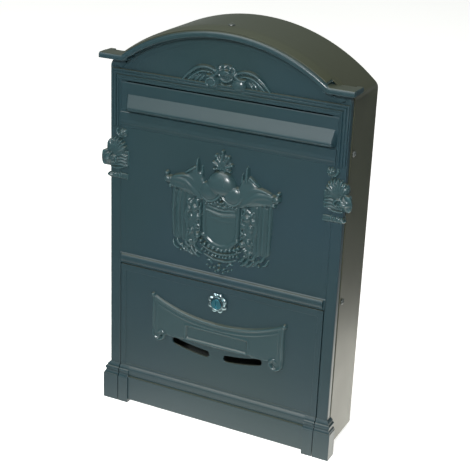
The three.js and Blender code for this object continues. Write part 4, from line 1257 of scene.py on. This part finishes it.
def lock_plug():
    """The plug that the key turns: keyway with its shutter in front, tail and thread behind."""
    made = Shells()
    keyway = rounded(rectangle(0.85, LOCK_Z - 3.7, LOCK_Z + 3.7), 0.6)
    made.plate([circle(5.3, 0, LOCK_Z, 56), keyway], -4.0, -1.2, 0.3, 3)
    made.box((-1.2, -2.9, LOCK_Z - 4), (1.2, -1.4, LOCK_Z + 4), 0.2)
    made.lathe([(0, -1.6), (5.1, -1.6), (5.1, 14.0), (4.9, 14.2), (0, 14.2)], (0, 0, LOCK_Z))
    made.box((-2.6, 13.8, LOCK_Z - 2.6), (2.6, 16.2, LOCK_Z + 2.6), 0.3)
    thread = [(2.2 if i % 2 else 1.95, 16.2 + 0.22 * i) for i in range(19)]
    made.lathe([(0, 15.8), (2.1, 15.8)] + thread + [(1.7, 20.6), (0, 20.6)], (0, 0, LOCK_Z), steps=24)
    return made.finish("lock_key_plug", PLUG_CHROME, "lock", "chrome", ["lock_plug"])


def flat_piece(name, node, body, loops, y0, y1, bevel):
    """A zinc plated piece cut from flat stock."""
    made = Shells()
    made.plate(loops, y0, y1, bevel, 2)
    made.finish(name, ZINC, body, "zinc", [node])


def lock_hardware():
    """The nut, cam, washer and tail nut behind the door."""
    thread_hole = circle(7.9, 0, LOCK_Z)
    tail_hole = circle(2.5, 0, LOCK_Z, 24)
    quarter = math.pi / 2
    end = [(18 + 6 * math.cos(a), LOCK_Z + 6 * math.sin(a)) for a in np.linspace(-quarter, quarter, 16)]
    near = [(6 * math.cos(a), LOCK_Z + 6 * math.sin(a)) for a in np.linspace(quarter, 3 * quarter, 16)]
    square = rectangle(2.9, LOCK_Z - 2.9, LOCK_Z + 2.9)
    flat_piece("lock_hex_nut", "lock_nut", "door", [circle(12, 0, LOCK_Z, 6), thread_hole], 2.9, 5.8, 0.35)
    flat_piece("lock_cam_plate", "lock_cam", "lock", [end + near, square], 14.5, 16.0, 0.3)
    flat_piece(
        "cam_washer_ring", "cam_washer", "lock", [circle(5.2, 0, LOCK_Z), tail_hole], 16.5, 17.3, 0.15,
    )
    flat_piece("cam_hex_nut", "cam_nut", "lock", [circle(4.6, 0, LOCK_Z, 6), tail_hole], 17.6, 20.1, 0.3)


# ---- Rod, clips, pins and screws -------------------------------------------------------------


def pins_and_rod():
    """The flap's rod with its two push-on rings, and the door's two headed pins."""
    rod = Shells()
    reach = 119.2
    rod.lathe([(0, 0), (0.9, 0), (1.2, 0.3), (1.2, 2 * reach - 0.3), (0.9, 2 * reach), (0, 2 * reach)],
              (-reach, FLAP_AXIS_Y, FLAP_AXIS_Z), "x", 24)
    rod.finish("flap_steel_rod", ZINC, "case", "zinc", ["flap_rod"])
    for s, side in ((-1, "left"), (1, "right")):
        clip = Shells()
        start = s * 117.9 if s > 0 else s * 118.7
        clip.lathe(
            [(1.5, 0.1), (1.6, 0), (2.2, 0), (2.4, 0.2), (2.4, 0.6), (2.2, 0.8), (1.6, 0.8), (1.5, 0.7)],
            (start, FLAP_AXIS_Y, FLAP_AXIS_Z), "x", 24, closed=True,
        )
        clip.finish("rod_ring_" + side, ZINC, "case", "zinc", ["rod_clip_" + side])
        pin = Shells()
        low, high = (c[0] for c in design_box("door_pin_" + side))
        length = high - low
        turned = [
            (0, 0), (2.6, 0), (3.0, 0.2), (3.0, 0.4), (1.8, 0.5), (1.8, length - 0.5), (1.3, length),
            (0, length),
        ]
        if s < 0:
            turned = [(r, length - t) for r, t in turned[::-1]]
        pin.lathe(turned, (low, -1.0, 8.0), "x", 28)
        pin.finish("door_hinge_pin_" + side, ZINC, "case", "zinc", ["door_pin_" + side])


HEAD_RADIUS, HEAD_HEIGHT = 3.02, 1.5
RECESS_DEPTH, RECESS_FLOOR = 0.85, 0.3


def pan_screw(name, head, outward, across):
    """A painted pan head screw with a cross recess; head is the middle of its underside."""
    r = Relief(-3.05, 3.05, -3.05, 3.05, 0.11)
    reach = np.hypot(r.A, r.B)
    dome = HEAD_HEIGHT * np.clip(1 - (reach / HEAD_RADIUS) ** 3.2, 0, 1) ** 0.5
    r.lay(np.where(reach < HEAD_RADIUS, dome, HEAD_RADIUS - reach))
    for along, over in ((r.A, r.B), (r.B, r.A)):
        cut = np.clip((0.42 - np.abs(over)) / 0.14, 0, 1) * np.clip((1.75 - np.abs(along)) / 0.3, 0, 1)
        sunk = np.maximum(np.minimum(r.H, HEAD_HEIGHT - RECESS_DEPTH * cut), RECESS_FLOOR)
        r.H = np.where(r.H > RECESS_FLOOR, sunk, r.H)
    head, outward, across = np.array(head, float), np.array(outward, float), np.array(across, float)
    third = np.cross(outward, across)

    def stand(a, b, h):
        return head + np.outer(a, across) + np.outer(b, third) + np.outer(h, outward)

    return settle(name, r.mesh(name, stand, 0.02), SCREW_ENAMEL_LIT, "case", sharp=50)


def screws():
    """The five screws that hold the cast front to the sheet box, with their shanks."""
    for node in [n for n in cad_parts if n.startswith("frame_screw")]:
        low, high = design_box(node)
        middle = (low + high) / 2
        shank = Shells()
        thread = [(1.5 if i % 2 else 1.25, 0.35 * i) for i in range(18)]
        if node == "frame_screw_roof":
            head = pan_screw("pan_head_roof", (0, middle[1], high[2] - 1.6), (0, 0, 1), (1, 0, 0))
            shank.lathe([(0, 0)] + thread + [(0, 6.0)], (0, 0, 0), "x", 18)
            for v in shank.mesh.verts:
                v.co = Vector((v.co.y, middle[1] + v.co.z, low[2] + v.co.x))
        else:
            s = 1 if middle[0] > 0 else -1
            edge = high[0] - 1.6 if s > 0 else low[0] + 1.6
            label = node.replace("frame_screw_", "pan_head_")
            head = pan_screw(label, (edge, middle[1], middle[2]), (s, 0, 0), (0, 1, 0))
            start = edge - 6.0 if s > 0 else edge
            shank.lathe([(0, 0)] + thread + [(0, 6.0)], (start, middle[1], middle[2]), "x", 18)
        shank.finish(node.replace("frame_screw_", "screw_shank_"), ZINC, "case", "zinc")
        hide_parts(node)


# ---- Back and bottom panels ------------------------------------------------------------------


WALL_HOLES = [(x, z) for x in (-85, 85) for z in (60, 305)]
FIT = SHEET + 0.3  # what the panels inside the wrap are set in by


def back_panel():
    """The back tray: face with four wall holes and pressed stiffening ribs, and its flange."""
    made = Shells()
    outline = arch_path(FIT + 0.2, BODY_BOTTOM + 0.2)
    holes = [circle(3.0, x, z, 28) for x, z in WALL_HOLES]
    made.plate([outline, *holes], DEPTH - SHEET, DEPTH, 0.25, 2)
    flange = [(0, DEPTH - 0.4), (0, 57.2), (-0.3, 57), (-0.7, 57), (-1.0, 57.2), (-1.0, DEPTH - 0.4)]
    made.sweep(on_plane(arch_path(FIT, BODY_BOTTOM)), flange)
    half = HALF_WIDTH - FIT
    made.box((-half, 57, BODY_BOTTOM), (half, DEPTH - 0.3, BODY_BOTTOM + SHEET), 0.3)
    for z in (110, 182, 254):
        rib = [
            (DEPTH - SHEET + 0.2, z - 5), (DEPTH - 2.2, z - 2.6), (DEPTH - 2.6, z),
            (DEPTH - 2.2, z + 2.6), (DEPTH - SHEET + 0.2, z + 5),
        ]
        made.bar(rib, -95, 95)
    for x, z in WALL_HOLES:
        collar = [(3.0, 0), (3.3, -1.4), (4.2, -1.5), (6.0, -0.1), (6.0, 0)]
        made.lathe(collar, (x, DEPTH - SHEET, z), closed=True)
    return made.finish("back_tray", INSIDE, "case", "sheet_paint", ["back_panel"])


def bottom_panel():
    """The floor of the box with upturned flanges and four drain slots."""
    made = Shells()
    half = HALF_WIDTH - FIT
    z0 = BODY_BOTTOM + FIT
    back = design_box("bottom_panel")[1][1]
    slots = [rounded(rectangle(14, y - 2, y + 2, x), 1.8) for x in (-60, 60) for y in (28, 50)]
    right = [(half, 13), (half, 56.7), (half - 1.3, 56.7), (half - 1.3, back)]
    outline = right + mirrored(right[::-1])
    panel = Shells()
    panel.plate([outline, *slots], -SHEET, 0, 0.2, 2)
    for v in panel.mesh.verts:
        v.co = Vector((v.co.x, v.co.z, z0 - v.co.y))
    kept = bpy.data.meshes.new("turned")
    panel.mesh.to_mesh(kept)
    panel.mesh.free()
    made.mesh.from_mesh(kept)
    bpy.data.meshes.remove(kept)
    made.side_boxes((half - SHEET, 22, z0 + 0.1), (half, 56.7, z0 + 12), 0.3)
    return made.finish("floor_panel", INSIDE, "case", "sheet_paint", ["bottom_panel"])


# ---- Studio ----------------------------------------------------------------------------------


def stage_plane(name, reach, z, material):
    """A level square of the set, reach metres to each side."""
    mesh = bpy.data.meshes.new(name)
    corners = [(-reach, -reach, z), (reach, -reach, z), (reach, reach, z), (-reach, reach, z)]
    mesh.from_pydata(corners, [], [(0, 1, 2, 3)])
    mesh.materials.append(material)
    plane = bpy.data.objects.new(name, mesh)
    bpy.context.scene.collection.objects.link(plane)
    return plane


def floor():
    """A plain pale floor under the feet."""
    made = Nodes("studio_floor", 0.6, specular=0.2)
    colour = made.ramp(made.noise(3, 2), [(0.3, (0.86, 0.86, 0.85)), (0.7, (0.9, 0.9, 0.89))])
    made.shader.inputs["Emission Color"].default_value = (1.0, 1.0, 0.985, 1.0)
    made.shader.inputs["Emission Strength"].default_value = FLOOR_GLOW
    stage_plane("studio_floor", 14.0, place((0, 0, 0))[2], made.finish(colour))


def light_pool():
    """A card of light on the floor round the part, seen only in the gloss of its paint."""
    z = place((0, 0, 0))[2] + 0.0008
    made = Nodes("studio_light_pool", 1.0, specular=0.0)
    middle = [(a + b) / 2 for a, b in POOL_BOX]
    half = [(b - a) / 2 for a, b in POOL_BOX]
    steps = [
        ("SUBTRACT", (*middle, z)), ("ABSOLUTE", None), ("SUBTRACT", (*half, 0.0)),
        ("MAXIMUM", (0.0, 0.0, 0.0)),
    ]
    value = made.where
    for operation, number in steps:
        node = made.add("ShaderNodeVectorMath", operation=operation)
        made.link(value, node.inputs[0])
        if number is not None:
            node.inputs[1].default_value = number
        value = node.outputs[0]
    length = made.add("ShaderNodeVectorMath", operation="LENGTH")
    made.link(value, length.inputs[0])
    fade = made.ramp(length.outputs["Value"], POOL_FADE)
    made.link(fade, made.shader.inputs["Emission Color"])
    made.shader.inputs["Emission Strength"].default_value = POOL_STRENGTH
    made.shader.inputs["Base Color"].default_value = (0.0, 0.0, 0.0, 1.0)
    card = stage_plane("studio_light_pool", 5.0, z, made.material)
    card.visible_camera = False
    card.visible_shadow = False
    card.visible_diffuse = False


def area_light(name, spot, aim, size, power, colour):
    """A soft rectangular light at a design point, turned to another."""
    data = bpy.data.lights.new(name, "AREA")
    data.shape = "RECTANGLE"
    data.size, data.size_y = size
    data.energy = power
    data.color = colour
    light = bpy.data.objects.new(name, data)
    at, to = Vector(place(spot)), Vector(place(aim))
    light.matrix_world = Matrix.Translation(at) @ (to - at).to_track_quat("-Z", "Y").to_matrix().to_4x4()
    bpy.context.scene.collection.objects.link(light)


def sky():
    """A dim room round the set, darker above."""
    world = bpy.data.worlds.new("room")
    bpy.context.scene.world = world
    world.use_nodes = True
    tree = world.node_tree
    back = tree.nodes["Background"]
    where = tree.nodes.new("ShaderNodeTexCoord")
    split = tree.nodes.new("ShaderNodeSeparateXYZ")
    ramp = tree.nodes.new("ShaderNodeValToRGB")
    tree.links.new(where.outputs["Generated"], split.inputs[0])
    tree.links.new(split.outputs["Z"], ramp.inputs["Fac"])
    tree.links.new(ramp.outputs["Color"], back.inputs["Color"])
    stops = ramp.color_ramp.elements
    stops[0].position, stops[0].color = 0.0, (0.21, 0.235, 0.245, 1)
    stops[1].position, stops[1].color = 0.55, (0.10, 0.11, 0.10, 1)
    back.inputs["Strength"].default_value = SKY_STRENGTH


def camera():
    """The camera at the photograph's viewing angle."""
    data = bpy.data.cameras.new("camera")
    data.lens, data.sensor_width = 90.37, 36.0
    data.clip_start, data.clip_end = 0.05, 60.0
    yaw, pitch, roll = (math.radians(a) for a in (25.41, 21.72, 2.39))
    ahead = Vector((-math.sin(yaw) * math.cos(pitch), math.cos(yaw) * math.cos(pitch), -math.sin(pitch)))
    right = Vector((math.cos(yaw), math.sin(yaw), 0.0))
    up = right.cross(ahead)
    turned_right = math.cos(roll) * right + math.sin(roll) * up
    turned_up = math.cos(roll) * up - math.sin(roll) * right
    matrix = Matrix((turned_right, turned_up, -ahead)).transposed().to_4x4()
    matrix.translation = Vector(place((469.02, -953.97, 636.17)))
    seen = bpy.data.objects.new("camera", data)
    seen.matrix_world = matrix
    bpy.context.scene.collection.objects.link(seen)
    bpy.context.scene.camera = seen


FLOOR_GLOW = 0.75
SKY_STRENGTH = 1.0
POOL_BOX = ((-0.02, 0.15), (0.02, 0.09))
POOL_STRENGTH = 2.4
POOL_FADE = [
    (0.0, (1.0, 0.98, 0.90)),
    (0.09, (0.90, 0.88, 0.80)),
    (0.17, (0.40, 0.395, 0.37)),
    (0.28, (0.16, 0.16, 0.155)),
    (0.50, (0.06, 0.065, 0.065)),
    (0.80, (0.035, 0.04, 0.042)),
]

camera()
sheet_wrap()
back_panel()
bottom_panel()
cast_front()
crest()
scroll()
capital(1)
capital(-1)
mail_flap()
lower_door()
swag()
lock_rosette()
lock_body()
lock_plug()
lock_hardware()
pins_and_rod()
screws()
floor()
light_pool()
sky()
area_light("overhead", (-250, -450, 1900), (0, 0, 150), (1.6, 1.6), 29, (1.0, 0.99, 0.96))
area_light("lip_softbox", (-600, -1035, 1150), (0, 0, 320), (0.9, 0.9), 3.0, (0.92, 1.0, 0.98))
area_light("right_flash", (330, -1330, 990), (0, 0, 240), (0.13, 0.13), 20, (1.0, 1.0, 1.0))
bpy.context.scene.view_settings.view_transform = "Standard"
